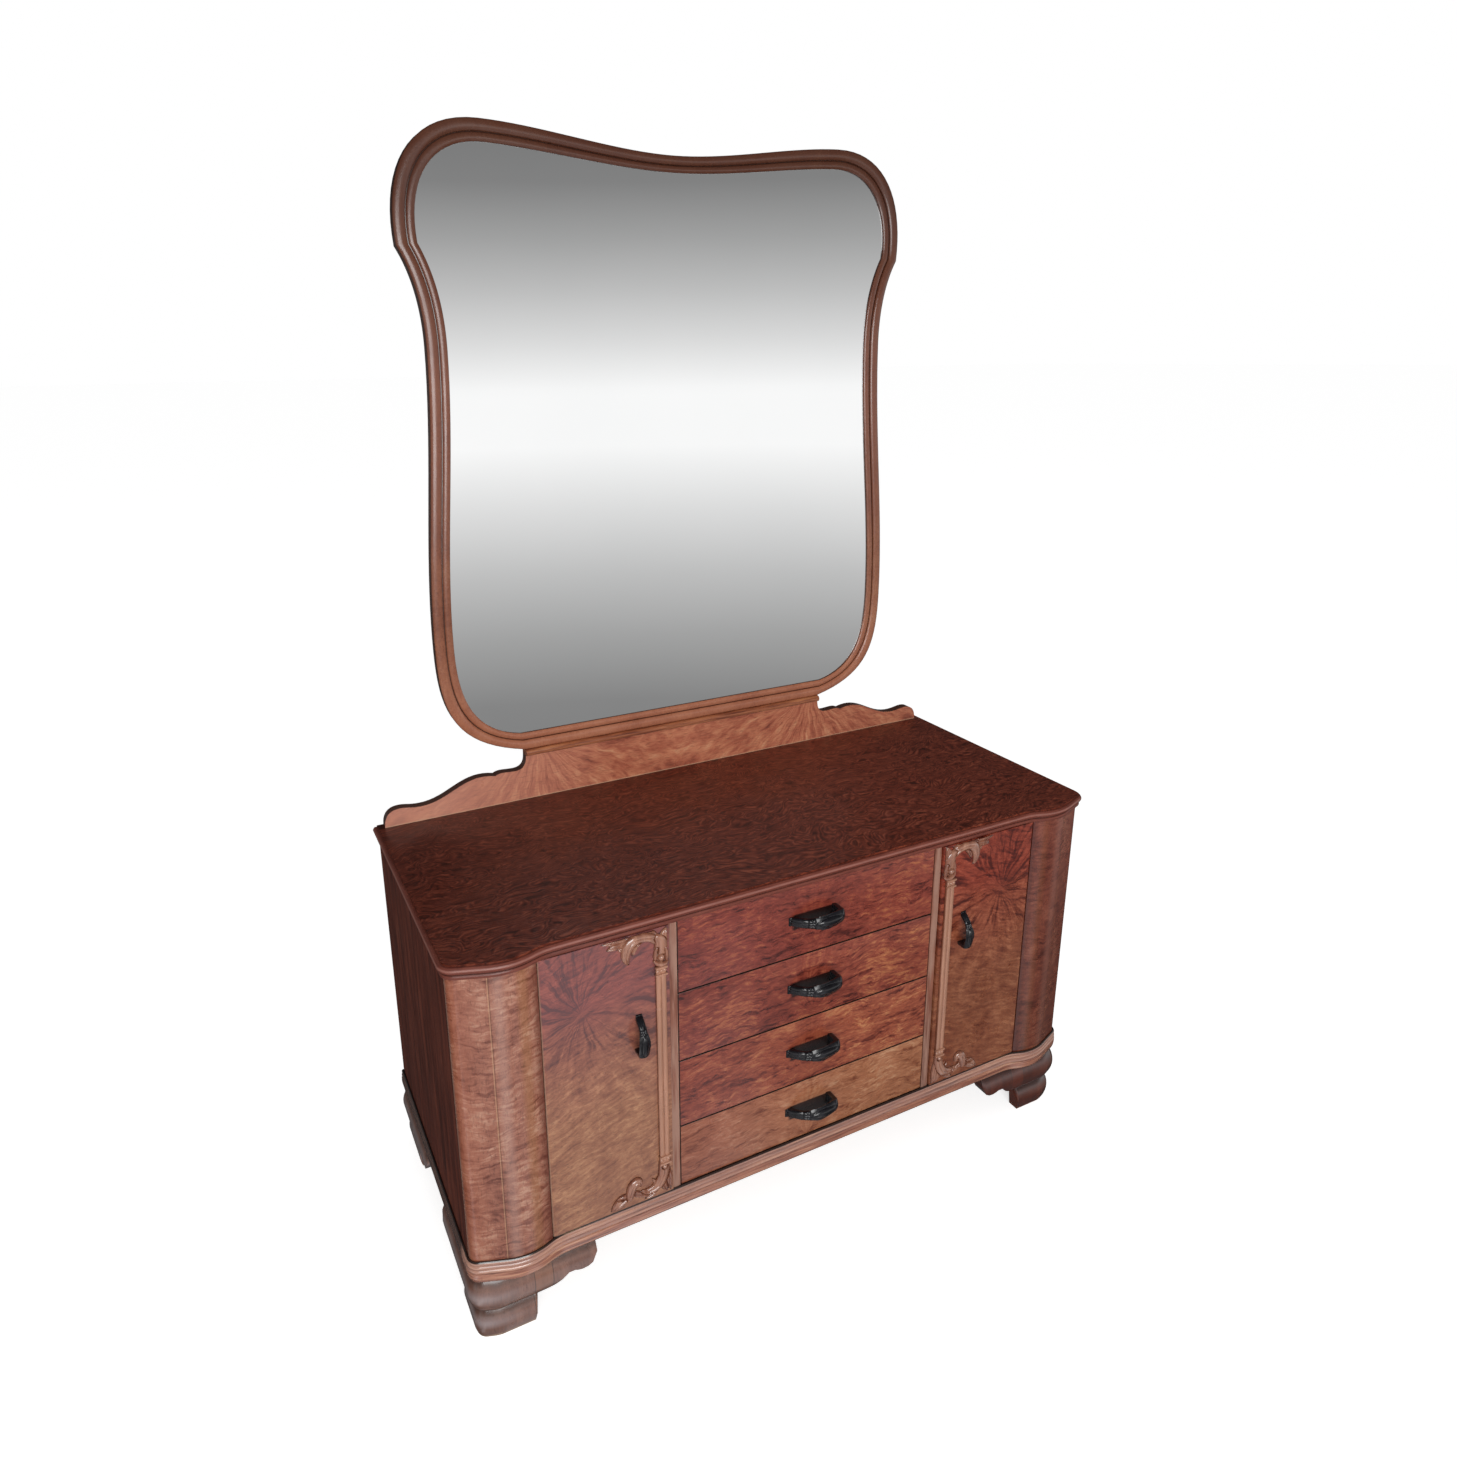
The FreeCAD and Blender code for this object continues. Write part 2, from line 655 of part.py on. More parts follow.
# Mirror: a shaped frame with eared shoulders, the glass in its rebate and a backing board
frame_outer = [
    [(0, 0), (rest_half_length, 0)],
    [(rest_half_length, 0), (466, 30), (487, 96), (489, 210)],
    [(489, 210), (492, 388), (461, 562), (461, 740)],
    [(461, 740), (461, 793), (470, 851), (497, 897)],
    [(497, 897), (509, 1010), (463, 1096), (350, 1093)],
    [(350, 1093), (237, 1090), (117, 1060), (0, 1060)],
]
frame_sight = [
    [(0, 34), (340, 34)],
    [(340, 34), (441, 53), (454, 138), (455, 222)],
    [(455, 222), (457, 393), (426, 565), (426, 736)],
    [(426, 736), (426, 793), (435, 851), (462, 902)],
    [(462, 902), (472, 995), (430, 1062), (340, 1058)],
    [(340, 1058), (228, 1053), (116, 1032), (0, 1032)],
]


def frame_wire(share, y):
    """A line round the frame, at a share of the way from its sight edge to its outer edge."""
    stretches = []
    for inner, outer in zip(frame_sight, frame_outer):
        stretches.append([(a[0] + (b[0] - a[0]) * share, mirror_bottom + a[1] + (b[1] - a[1]) * share)
                          for a, b in zip(inner, outer)])
    return Part.Wire(Part.__sortEdges__(half_outline(stretches, y)))


def frame_prism(share, y0, y1):
    return Part.Face(frame_wire(share, y0)).extrude(BACKWARD * (y1 - y0))


def frame_stack(steps):
    """A solid through lines round the frame, each a share of the way out and a depth."""
    return Part.makeLoft([frame_wire(share, y) for share, y in steps], True, True)


frame_face = -mirror_frame_thickness
frame_edge = frame_face + frame_fall
glass_face = frame_face + glass_setback
glass_back = glass_face + glass_thickness
frame = frame_stack([(1, 0), (1, frame_edge), (crown_share, frame_face)])
frame = frame.cut(frame_stack([(crown_share, frame_face), (0, frame_edge), (0, 0)]))
frame = frame.cut(frame_prism(rebate_share, glass_face, 0))
save("mirror_frame", frame)
save("mirror_glass", frame_prism(glass_share, glass_face, glass_back))
save("mirror_backing", frame_prism(glass_share, glass_back, glass_back + backing_thickness))

# Two battens screwed to the back carry the mirror
batten = block(batten_spacing / 2 - batten_width / 2, batten_spacing / 2 + batten_width / 2, 0, batten_thickness,
               batten_foot, batten_foot + batten_length)
save("mirror_battens", other_side(batten), batten)
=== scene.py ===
import bpy
import bmesh
import math
import numpy as np
from mathutils import Matrix, Vector


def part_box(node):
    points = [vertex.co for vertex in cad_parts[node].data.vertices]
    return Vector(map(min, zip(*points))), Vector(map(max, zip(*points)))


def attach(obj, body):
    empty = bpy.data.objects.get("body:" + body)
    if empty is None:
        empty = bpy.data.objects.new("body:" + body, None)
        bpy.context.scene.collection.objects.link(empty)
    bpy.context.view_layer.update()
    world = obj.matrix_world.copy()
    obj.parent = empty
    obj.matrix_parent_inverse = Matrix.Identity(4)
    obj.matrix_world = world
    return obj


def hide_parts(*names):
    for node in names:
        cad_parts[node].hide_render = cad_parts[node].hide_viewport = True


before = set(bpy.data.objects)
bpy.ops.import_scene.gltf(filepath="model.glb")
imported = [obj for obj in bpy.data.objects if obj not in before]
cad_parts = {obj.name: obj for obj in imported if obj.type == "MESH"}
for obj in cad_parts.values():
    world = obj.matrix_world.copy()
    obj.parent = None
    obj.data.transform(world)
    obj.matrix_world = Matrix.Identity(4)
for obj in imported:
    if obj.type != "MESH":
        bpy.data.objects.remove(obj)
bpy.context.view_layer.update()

# Feet: four ogee bracket feet, glued up from softwood and faced with walnut veneer laid upright.
# Each face is a full shoulder, a crease and a cushion.
# Below, it is sawn out to a pad and a wing with two lobes.
mm = 0.001
half_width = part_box("side_panel_right")[1].x
back_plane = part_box("side_panel_right")[1].y
front_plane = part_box("partition_right")[0].y
foot_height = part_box("base_rail_rear")[0].z
foot_plan = ((60 * mm, 20), (10 * mm, 0), (22 * mm, 70))
foot_pad = 95 * mm
foot_pad_height = 50 * mm
foot_slant_end = foot_pad + foot_pad_height / 8
foot_notch_start = foot_pad + 57 * mm
foot_notch_height = 80 * mm
foot_end_lobe = 163 * mm
foot_wing = 203 * mm
foot_wall = 25 * mm
foot_side_start = 520 * mm
foot_swellings = (((-5, 0), (7.6, 34), (-6, 66)), ((-7.5, 68), (0.6, 91), (-4, 117)))
foot_swelling_steps = 16
foot_joints = (95 * mm, 126 * mm)
sides = (("left", -1), ("right", 1))


def plan_line(moves, bends=12):
    """A plan line from the back left corner round the front, as places and outward directions.

    A straight front leads to the moves, each a length or a radius and the degrees that it turns.
    """
    place = Vector((0, front_plane))
    heading = 0.0
    bent = []
    for size, degrees in moves:
        turn = math.radians(degrees) / bends
        for _ in range(bends):
            heading += turn / 2
            step = 2 * size * math.sin(abs(turn) / 2) if turn else size / bends
            place = place + step * Vector((math.cos(heading), math.sin(heading)))
            heading += turn / 2
            bent.append((place, Vector((math.sin(heading), -math.cos(heading)))))
    straight = Vector((half_width - place.x, 0))
    side_run = back_plane - place.y
    steps = [step / bends for step in range(1, bends + 1)]
    right = [(Vector((straight.x * share, front_plane)), Vector((0, -1))) for share in steps]
    right += [(spot + straight, outward) for spot, outward in bent]
    right += [(Vector((half_width, place.y + side_run * share)), Vector((1, 0))) for share in steps]
    left = [(Vector((-p.x, p.y)), Vector((-n.x, n.y))) for p, n in reversed(right)]
    return left + [(Vector((0, front_plane)), Vector((0, -1)))] + right


def corner_half(plan, bends=12):
    """The right corner of a plan line, from the end of the straight front to the start of the side."""
    middle = len(plan) // 2
    return plan[middle + bends:len(plan) - bends]


def arc_height(x, first, second, third, side=1):
    """Height at x of the circle through three places, on its upper side or, with -1, on its lower side."""
    (ax, ay), (bx, by), (cx, cy) = first, second, third
    double = 2 * (ax * (by - cy) + bx * (cy - ay) + cx * (ay - by))
    a, b, c = ax * ax + ay * ay, bx * bx + by * by, cx * cx + cy * cy
    middle_x = (a * (by - cy) + b * (cy - ay) + c * (ay - by)) / double
    middle_y = (a * (cx - bx) + b * (ax - cx) + c * (bx - ax)) / double
    radius = math.hypot(ax - middle_x, ay - middle_y)
    return middle_y + side * math.sqrt(max(radius ** 2 - (x - middle_x) ** 2, 0))


def skin(stations, ring):
    """Faces between rings of points in a row, with both ends closed."""
    last = (stations - 1) * ring
    faces = [tuple(range(ring)), tuple(range(last + ring - 1, last - 1, -1))]
    for start in range(0, last, ring):
        for row in range(ring):
            a = start + row
            b = start + (row + 1) % ring
            faces.append((a, b, b + ring, a + ring))
    return faces


def prism(outline, z0, z1):
    """An upright prism on an outline in plan, as points and faces."""
    return [(x, y, z) for z in (z0, z1) for x, y in outline], skin(2, len(outline))


def gather(parts):
    """Several point and face lists as one."""
    points = []
    faces = []
    for more_points, more_faces in parts:
        start = len(points)
        points += more_points
        faces += [tuple(index + start for index in face) for face in more_faces]
    return points, faces


def make_piece(name, points, faces, finish, body, slot, nodes=(), sharp=38):
    """One closed or sunk-in surface as a named piece that rides on a body and stands for some CAD nodes."""
    mesh = bpy.data.meshes.new(name)
    mesh.from_pydata([tuple(p) for p in points], [], faces)
    shell = bmesh.new()
    shell.from_mesh(mesh)
    bmesh.ops.remove_doubles(shell, verts=shell.verts, dist=0.01 * mm)
    bmesh.ops.dissolve_degenerate(shell, edges=shell.edges, dist=0.005 * mm)
    bmesh.ops.recalc_face_normals(shell, faces=shell.faces)
    shell.to_mesh(mesh)
    shell.free()
    mesh.shade_smooth()
    mesh.set_sharp_from_angle(angle=math.radians(sharp))
    made = bpy.data.objects.new(name, mesh)
    bpy.context.scene.collection.objects.link(made)
    made.data.materials.append(finish)
    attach(made, body)
    if nodes:
        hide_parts(*nodes)


def dress(finish, *nodes):
    """Give some CAD nodes a finish."""
    for node in nodes:
        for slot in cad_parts[node].material_slots:
            slot.material = finish


def feed(tree, made, inputs):
    """Give a shader node its inputs, each a value or another node's output."""
    for key, value in inputs.items():
        if isinstance(value, bpy.types.NodeSocket):
            tree.links.new(value, made.inputs[key])
        else:
            made.inputs[key].default_value = value


def wire(tree, kind, inputs=None, **settings):
    """Add one shader node with its settings and its inputs."""
    made = tree.nodes.new(kind)
    for setting, value in settings.items():
        setattr(made, setting, value)
    feed(tree, made, inputs or {})
    return made


def colour(text):
    """A colour written as on a paint card, as linear light."""
    parts = [int(text[i:i + 2], 16) / 255 for i in (1, 3, 5)]
    return tuple(p / 12.92 if p <= 0.04045 else ((p + 0.055) / 1.055) ** 2.4 for p in parts) + (1.0,)


def calc(tree, operation, *values):
    """A sum on numbers."""
    return wire(tree, "ShaderNodeMath", dict(enumerate(values)), operation=operation).outputs[0]


def times(tree, first, second):
    return calc(tree, "MULTIPLY", first, second)


def vector(tree, operation, *values):
    """A sum on vectors."""
    return wire(tree, "ShaderNodeVectorMath", dict(enumerate(values)), operation=operation).outputs[0]


def span(tree, value, low, high, new_low=0.0, new_high=1.0):
    """Stretch a value from one range to another, and hold it there."""
    return wire(tree, "ShaderNodeMapRange", {0: value, 1: low, 2: high, 3: new_low, 4: new_high}).outputs[0]


def strip(tree, value, middle, core, edge, share):
    """A soft-edged strip: a share within a core of a middle value, fading to nothing at its edge."""
    return span(tree, calc(tree, "ABSOLUTE", calc(tree, "SUBTRACT", value, middle)), core, edge, share, 0)


def tone(tree, share, first, second, blend="MIX"):
    """Mix two colours, each another node's output or as written on a paint card."""
    first, second = (colour(shade) if isinstance(shade, str) else shade for shade in (first, second))
    inputs = {0: share, 6: first, 7: second}
    return wire(tree, "ShaderNodeMix", inputs, data_type="RGBA", blend_type=blend).outputs[2]


def cloud(tree, place, stretch, detail=3.0, roughness=0.55, output=0):
    """Soft noise, with so many waves to the metre along each axis."""
    scaled = vector(tree, "MULTIPLY", place, stretch)
    noise = {"Vector": scaled, "Scale": 1.0, "Detail": detail, "Roughness": roughness}
    return wire(tree, "ShaderNodeTexNoise", noise).outputs[output]


def waver(tree, place, scale, amount):
    """Push places about by a soft noise, so that straight grain wanders."""
    drift = cloud(tree, place, (scale, scale, scale), 2.0, output="Color")
    centred = vector(tree, "SUBTRACT", drift, (0.5, 0.5, 0.5))
    return vector(tree, "ADD", place, vector(tree, "MULTIPLY", centred, (amount, amount, amount)))


def split(tree, place):
    return wire(tree, "ShaderNodeSeparateXYZ", {0: place}).outputs


def join(tree, x, y, z):
    return wire(tree, "ShaderNodeCombineXYZ", {0: x, 1: y, 2: z}).outputs[0]


def new_material(name):
    """A material, its node tree and its shader."""
    material = bpy.data.materials.new(name)
    material.use_nodes = True
    return material, material.node_tree, material.node_tree.nodes["Principled BSDF"]


def own_place(tree):
    """Places measured from the object's own origin."""
    return wire(tree, "ShaderNodeTexCoord").outputs["Object"]


def veneer(name, tones, figure, pores, tint=None, levels=(0.0, 0.5, 1.0), roughness=0.34, polish=0.4,
           relief=0.2, gloss=0.45):
    """A varnished wood: a figure picks its tones, fine pores darken and dent it, rubbed patches dull it."""
    material, tree, shader = new_material(name)
    place = own_place(tree)
    drawn = figure(tree, place)
    ramp = wire(tree, "ShaderNodeValToRGB", {0: drawn})
    stops = ramp.color_ramp.elements
    while len(stops) < len(tones):
        stops.new(0.5)
    for stop, level, shade in zip(stops, levels, tones):
        stop.position = level
        stop.color = colour(shade)
    pore = cloud(tree, waver(tree, place, 12, 0.006), pores, 2.0, 0.6)
    pore_share = span(tree, pore, 0.52, 0.72, 0, 0.45)
    shade = tone(tree, pore_share, ramp.outputs[0], "#6e5048", "MULTIPLY")
    patch = span(tree, cloud(tree, place, (5, 5, 5)), 0.35, 0.65, 0, 0.5)
    shade = tone(tree, patch, shade, "#dccbc4", "MULTIPLY")
    if tint:
        shade = tint(tree, place, shade)
    wear_and_sheen = cloud(tree, place, (18, 18, 18), 4.0)
    height = calc(tree, "SUBTRACT", times(tree, drawn, 0.25), pore_share)
    bump = wire(tree, "ShaderNodeBump", {"Strength": relief, "Distance": 0.5 * mm, "Height": height})
    feed(tree, shader, {
        "Base Color": shade,
        "Roughness": span(tree, wear_and_sheen, 0.3, 0.7, roughness - 0.06, roughness + 0.1),
        "Normal": bump.outputs[0],
        "Specular IOR Level": gloss,
        "Coat Weight": polish,
        "Coat Roughness": 0.16,
    })
    return material


def upright_figure(tree, place):
    """Straight grain that runs up the piece."""
    return span(tree, cloud(tree, waver(tree, place, 7, 0.02), (70, 70, 5), 4.0), 0.3, 0.7)


def foot_joint(tree, place, shade):
    """Two upright joints, a worn sole, painted shade under the neck and in the crease, painted highlights on
    the swellings and painted shade on the right.
    """
    x, y, z = split(tree, place)
    run = calc(tree, "SUBTRACT", half_width, calc(tree, "ABSOLUTE", x))
    first, second = foot_joints
    leaf = times(tree, span(tree, run, first - 0.5 * mm, first + 0.5 * mm),
                 span(tree, run, second + 0.5 * mm, second - 0.5 * mm))
    shade = tone(tree, times(tree, leaf, 0.3), shade, "#a06a4a")
    for joint in foot_joints:
        shade = tone(tree, strip(tree, run, joint, 0.4 * mm, 0.9 * mm, 0.8), shade, "#2c1a14")
    worn = cloud(tree, place, (60, 60, 60))
    sole = span(tree, calc(tree, "ADD", z, times(tree, worn, 12 * mm)), 8 * mm, 13 * mm, 0.75, 0)
    shade = tone(tree, sole, shade, "#b49a82")
    depth = calc(tree, "SUBTRACT", foot_height, z)
    # Painted shade: darker in the crease and just under the base's round.
    crease = strip(tree, depth, 67 * mm, 1 * mm, 14 * mm, 0.7)
    dirt_and_shade = calc(tree, "MAXIMUM", crease, span(tree, depth, 4 * mm, 16 * mm, 0.7, 0.0))
    shade = tone(tree, dirt_and_shade, shade, "#2a1812")
    # Painted highlights: paler bands along the shoulder and the cushion, strongest near the corner.
    shoulder = strip(tree, depth, 30 * mm, 2 * mm, 14 * mm, 0.4)
    cushion = strip(tree, depth, 86 * mm, 2 * mm, 12 * mm, 0.4)
    swellings = calc(tree, "MAXIMUM", shoulder, cushion)
    swelling_highlight = times(tree, swellings, span(tree, run, 20 * mm, 80 * mm, 1.0, 0.2))
    shade = tone(tree, swelling_highlight, shade, "#b4aaac")
    # Painted shade: the right-hand feet darker, as if further from the light.
    return tone(tree, span(tree, x, 0.0, 0.1, 0.0, 0.93), shade, "#aa6038", "MULTIPLY")


foot_finish = veneer("foot_veneer", ("#6a483c", "#785244", "#8a6252"), upright_figure, (700, 700, 30),
                     foot_joint, roughness=0.3, polish=0.9, relief=0.1)
foot_depths = []
foot_reaches = []
for turning_points in foot_swellings:
    for step in range(foot_swelling_steps + 1):
        share = step / foot_swelling_steps
        weights = ((1 - share) * (1 - 2 * share), 4 * share * (1 - share), share * (2 * share - 1))
        foot_reaches.append(sum(weight * point[0] for weight, point in zip(weights, turning_points)))
        foot_depths.append(sum(weight * point[1] for weight, point in zip(weights, turning_points)))


def foot_face(z):
    """How far the foot's face stands out from the plan line at a height."""
    return np.interp((foot_height - z) / mm, foot_depths, foot_reaches) * mm


def foot_lower_edge(run):
    """Height of the bracket's sawn lower edge at a distance from the outer corner."""
    if run <= foot_pad:
        return 0.0
    if run <= foot_slant_end:
        return 8 * (run - foot_pad)
    if run <= foot_notch_start:
        return arc_height(run, (foot_slant_end, foot_pad_height),
                          (foot_pad + 35 * mm, foot_notch_height - 19 * mm),
                          (foot_notch_start, foot_notch_height), -1)
    if run <= foot_end_lobe:
        return foot_notch_height
    return arc_height(run, (foot_end_lobe, foot_notch_height),
                      (foot_end_lobe + 24 * mm, foot_notch_height - 3 * mm),
                      (foot_wing, foot_notch_height + 18 * mm), -1)


def bracket_foot(name, stations, inner, extra=(), rows=16):
    """A foot from its plan stations: each is a place, an outward direction and the run from the corner."""
    points = []
    shoulder_end = foot_height - foot_swellings[0][2][1] * mm
    cushion_start = foot_height - foot_swellings[1][0][1] * mm
    for place, outward, run in stations:
        low = foot_lower_edge(run)
        cushion = max(low, cushion_start)
        shoulder = max(low, shoulder_end)
        heights = [low + (cushion - low) * row / rows for row in range(rows + 1)]
        heights += [shoulder + (foot_height - shoulder) * row / rows for row in range(rows + 1)]
        points += [(*(place + outward * foot_face(z)), z) for z in heights]
        points += [(*inner(place), z) for z in reversed(heights)]
    foot = (points, skin(len(stations), 4 * (rows + 1)))
    make_piece(name, *gather([foot, *extra]), foot_finish, "carcass", "walnut", (name,))


def along(start, end, count):
    """Evenly spaced runs from one to another, with the bracket's own turning points among them."""
    turns = [foot_pad, foot_slant_end, foot_notch_start, foot_end_lobe]
    even = [start + (end - start) * step / count for step in range(count + 1)]
    return sorted(set(even + [turn for turn in turns if start < turn < end]))


foot_corner = corner_half(plan_line(foot_plan))
foot_inner = half_width - foot_wall
bend_run = half_width - foot_corner[0][0].x
side_run = foot_corner[-1][0].y - back_plane + foot_side_start
for side, mirror in sides:
    def turned(flat):
        return Vector((flat.x * mirror, flat.y))

    def front_inner(place):
        level = front_plane + foot_wall
        y = max(place.y, level) if abs(place.x) >= foot_inner else level
        return Vector((min(abs(place.x), foot_inner) * mirror, y))

    def rear_inner(place):
        return Vector((foot_inner * mirror, place.y))

    front_stations = [(turned(Vector((half_width - run, front_plane))), Vector((0, -1)), run)
                      for run in reversed(along(bend_run, foot_wing, 18)[1:])]
    front_stations += [(turned(place), turned(outward), half_width - place.x)
                       for place, outward in foot_corner]
    side_edge = half_width * mirror
    front_stations += [(Vector((side_edge, back_plane - foot_side_start + run)), Vector((mirror, 0)), run)
                       for run in along(side_run, foot_wing, 20)[1:]]
    bracket_foot("front_foot_" + side, front_stations, front_inner)
    rear_stations = [(Vector((side_edge, back_plane - run)), Vector((mirror, 0)), run)
                     for run in along(0, foot_wing, 20)]
    block_start, block_end = (half_width - foot_pad) * mirror, foot_inner * mirror
    rear_block = [(block_start, back_plane - foot_wall), (block_end, back_plane - foot_wall),
                  (block_end, back_plane), (block_start, back_plane)]
    bracket_foot("rear_foot_" + side, rear_stations, rear_inner, [prism(rear_block, 0, foot_height)])

# Base frame: softwood rails mitred at the corners, with a walnut moulding run along the front and sides.
# The moulding is three reeds over a large round, and follows the serpentine corners.
serpentine = ((96 * mm, -20.8), (96 * mm, 40.8), (45 * mm, 0), (18 * mm, 70))
whole_plan = plan_line(serpentine)
base_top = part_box("bottom_board")[0].z
rail_inner = half_width - 44.5 * mm
rail_front_inner = front_plane + 53 * mm


def arc_rows(out, top, bottom, swell, count):
    """Rows of a round moulding that swells out between two levels."""
    return [(out + swell * math.sin(math.pi * step / count), top + (bottom - top) * step / count)
            for step in range(count + 1)]


def run_round(rows, inner=None):
    """Points of a moulding run round the serpentine plan, and of its inner line if there is one."""
    points = []
    for place, outward in whole_plan:
        points += [(*(place + outward * out), z) for out, z in rows]
        if inner:
            points += [(*inner(place), rows[-1][1]), (*inner(place), rows[0][1])]
    return points


def rail_line(place):
    """The inner line of the rails at a place on the plan."""
    x = max(-rail_inner, min(rail_inner, place.x))
    return (x, rail_front_inner if abs(place.x) < rail_inner else max(place.y, rail_front_inner))


def lengthwise_figure(tree, place):
    """Straight grain that runs along a rail, round the corner and down the side."""
    x, y, z = split(tree, waver(tree, place, 9, 0.012))
    run = calc(tree, "SUBTRACT", calc(tree, "ABSOLUTE", x), y)
    return span(tree, cloud(tree, join(tree, run, y, z), (9, 30, 260), 4.0), 0.3, 0.7)


def base_wear_and_shade(tree, place, shade):
    """Reeds paler and greyer, partly wear and partly painted sheen; painted shade on the sides, and a painted
    shadow in the hollow above.
    """
    x, y, z = split(tree, place)
    # Partly wear, partly painted sheen: the reeds paler and greyer.
    reed_wear_and_sheen = span(tree, z, base_top - 23 * mm, base_top - 21 * mm, 0, 0.3)
    shade = tone(tree, reed_wear_and_sheen, shade, "#b8a096")
    # Painted shade: the base darker along the sides.
    side = times(tree, span(tree, y, front_plane + 45 * mm, front_plane + 60 * mm),
                 span(tree, calc(tree, "ABSOLUTE", x), half_width - 1 * mm, half_width + 1 * mm))
    shade = tone(tree, times(tree, side, 0.8), shade, "#2c1a16")
    # Painted shadow: a black line where the base meets the body.
    groove = span(tree, z, base_top - 2.4 * mm, base_top - 1.4 * mm, 0, 0.95)
    return tone(tree, groove, shade, "#0c0706")


base_finish = veneer("base_moulding_wood", ("#744536", "#a46b58", "#c0866a", "#d0a086"), lengthwise_figure,
                     (40, 40, 900), base_wear_and_shade, (0.0, 0.4, 0.75, 1.0), roughness=0.2, polish=0.9, relief=0.1)
base_rows = [(0, base_top), (2.6 * mm, base_top)]
for reed in range(3):
    reed_top = base_top - (0.3 + 7.1 * reed) * mm
    base_rows += arc_rows((2.6 + 0.7 * reed) * mm, reed_top, reed_top - 6.9 * mm, 2 * mm, 8)
round_steps = 10
for step in range(round_steps + 1):
    angle = math.pi / 2 * step / round_steps
    base_rows.append(((0.5 + 5.6 * math.cos(angle)) * mm, base_top - (21.8 + 18.7 * math.sin(angle)) * mm))
base_faces = skin(len(whole_plan), len(base_rows) + 2)
make_piece("base_moulding", run_round(base_rows, rail_line), base_faces, base_finish, "carcass",
           "walnut", ("base_rail_front", "base_rail_left", "base_rail_right"))

# Carcass: two sides, two partitions, a bottom and a thin back, of veneered board.
# The sides' veneer is coloured dark, partly as painted shade, and the inside is left plain.
plain_tones = ("#8a6446", "#a47c58", "#b8936c")
thin_tones = ("#9a7a58", "#b3926c", "#c4a580")
plain_board = veneer("plain_board", plain_tones, lengthwise_figure, (30, 500, 500), roughness=0.55,
                     polish=0.0)
thin_board = veneer("thin_board", thin_tones, upright_figure, (500, 500, 25), roughness=0.62, polish=0.0)
# The sides' dark tones are partly painted shade.
dark_side = veneer("dark_side_veneer", ("#492218", "#673326", "#7e4230"), upright_figure, (600, 600, 22),
                   roughness=0.5, polish=0.0, gloss=0.12)


def worn_strip(tree, place, shade):
    """The partitions' narrow front edges are rubbed grey by the doors."""
    x, y, z = split(tree, place)
    front = span(tree, y, front_plane + 0.4 * mm, front_plane + 1.2 * mm, 1, 0)
    scuff = span(tree, cloud(tree, place, (120, 120, 9), 4.0), 0.4, 0.6, 0.1, 0.9)
    return tone(tree, times(tree, front, scuff), shade, "#a07a6a")


partition_finish = veneer("partition_veneer", ("#5c3024", "#844e3c", "#9a6450"), upright_figure,
                          (500, 500, 25), worn_strip, roughness=0.42, polish=0.1)
dress(dark_side, "side_panel_left", "side_panel_right")
dress(partition_finish, "partition_left", "partition_right")
dress(plain_board, "bottom_board", "base_rail_rear", "shelf_left", "shelf_right", "shelf_cleats",
      "drawer_runners_left", "drawer_runners_right")
dress(thin_board, "back_panel")

# Corner columns: solid blocks shaped to the serpentine and veneered upright with mottled walnut.
# Joints in the veneer show as thin lines along the crest and down the corner.
column_low, column_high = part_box("corner_column_right")
crest_line = half_width - 54 * mm


def blend(tree, share, first, second):
    """Two figures mixed, with so much of the second."""
    return wire(tree, "ShaderNodeMix", {0: share, 2: first, 3: second}).outputs[0]


def burl_figure(tree, place):
    """Mottled walnut: soft blotches crossed by short level ripples."""
    bent = waver(tree, waver(tree, place, 9, 0.05), 45, 0.012)
    blotch = cloud(tree, bent, (26, 26, 10))
    ripple = cloud(tree, bent, (45, 45, 190), 5.0, 0.65)
    lines = span(tree, cloud(tree, bent, (22, 22, 150)), 0.53, 0.62, 0, 0.3)
    return calc(tree, "SUBTRACT", span(tree, blend(tree, 0.5, blotch, ripple), 0.36, 0.64, 0.2, 1.0), lines)


def column_joints(tree, place, shade):
    """A red edge, a golden strip, a painted pale sheen, a joint down the crest, a red strip by the side, and
    painted shade on the right column.
    """
    x, y, z = split(tree, place)
    across = calc(tree, "ABSOLUTE", x)
    edge = span(tree, across, column_low.x + 1.5 * mm, column_low.x + 12 * mm, 0.75, 0.0)
    shade = tone(tree, edge, shade, "#5c2a1e")
    joint_light = strip(tree, across, crest_line, 0.3 * mm, 1.0 * mm, 0.4)
    shade = tone(tree, joint_light, shade, "#c8a07c")
    joint_dark = strip(tree, across, crest_line - 1.6 * mm, 0.4 * mm, 1.0 * mm, 0.55)
    shade = tone(tree, joint_dark, shade, "#54301f")
    # Painted sheen: a pale band beside the crest.
    sheen = strip(tree, across, crest_line - 14 * mm, 3 * mm, 14 * mm, 0.3)
    shade = tone(tree, sheen, shade, "#b8988e")
    golden = strip(tree, across, column_low.x + 25 * mm, 3 * mm, 12 * mm, 0.22)
    shade = tone(tree, golden, shade, "#a87a48")
    red = span(tree, y, front_plane - 2 * mm, front_plane + 12 * mm, 0.0, 0.35)
    shade = tone(tree, red, shade, "#a0522e")
    corner = strip(tree, y, column_high.y - 2 * mm, 0.6 * mm, 1.4 * mm, 0.6)
    shade = tone(tree, corner, shade, "#c0a48c")
    # Painted shade: the right column darker, most towards its foot.
    right_side_shade = tone(tree, span(tree, z, column_low.z, column_high.z), "#ae7a5c", "#c88e7e")
    return tone(tree, span(tree, x, 0.0, 0.1, 0.0, 0.8), shade, right_side_shade, "MULTIPLY")


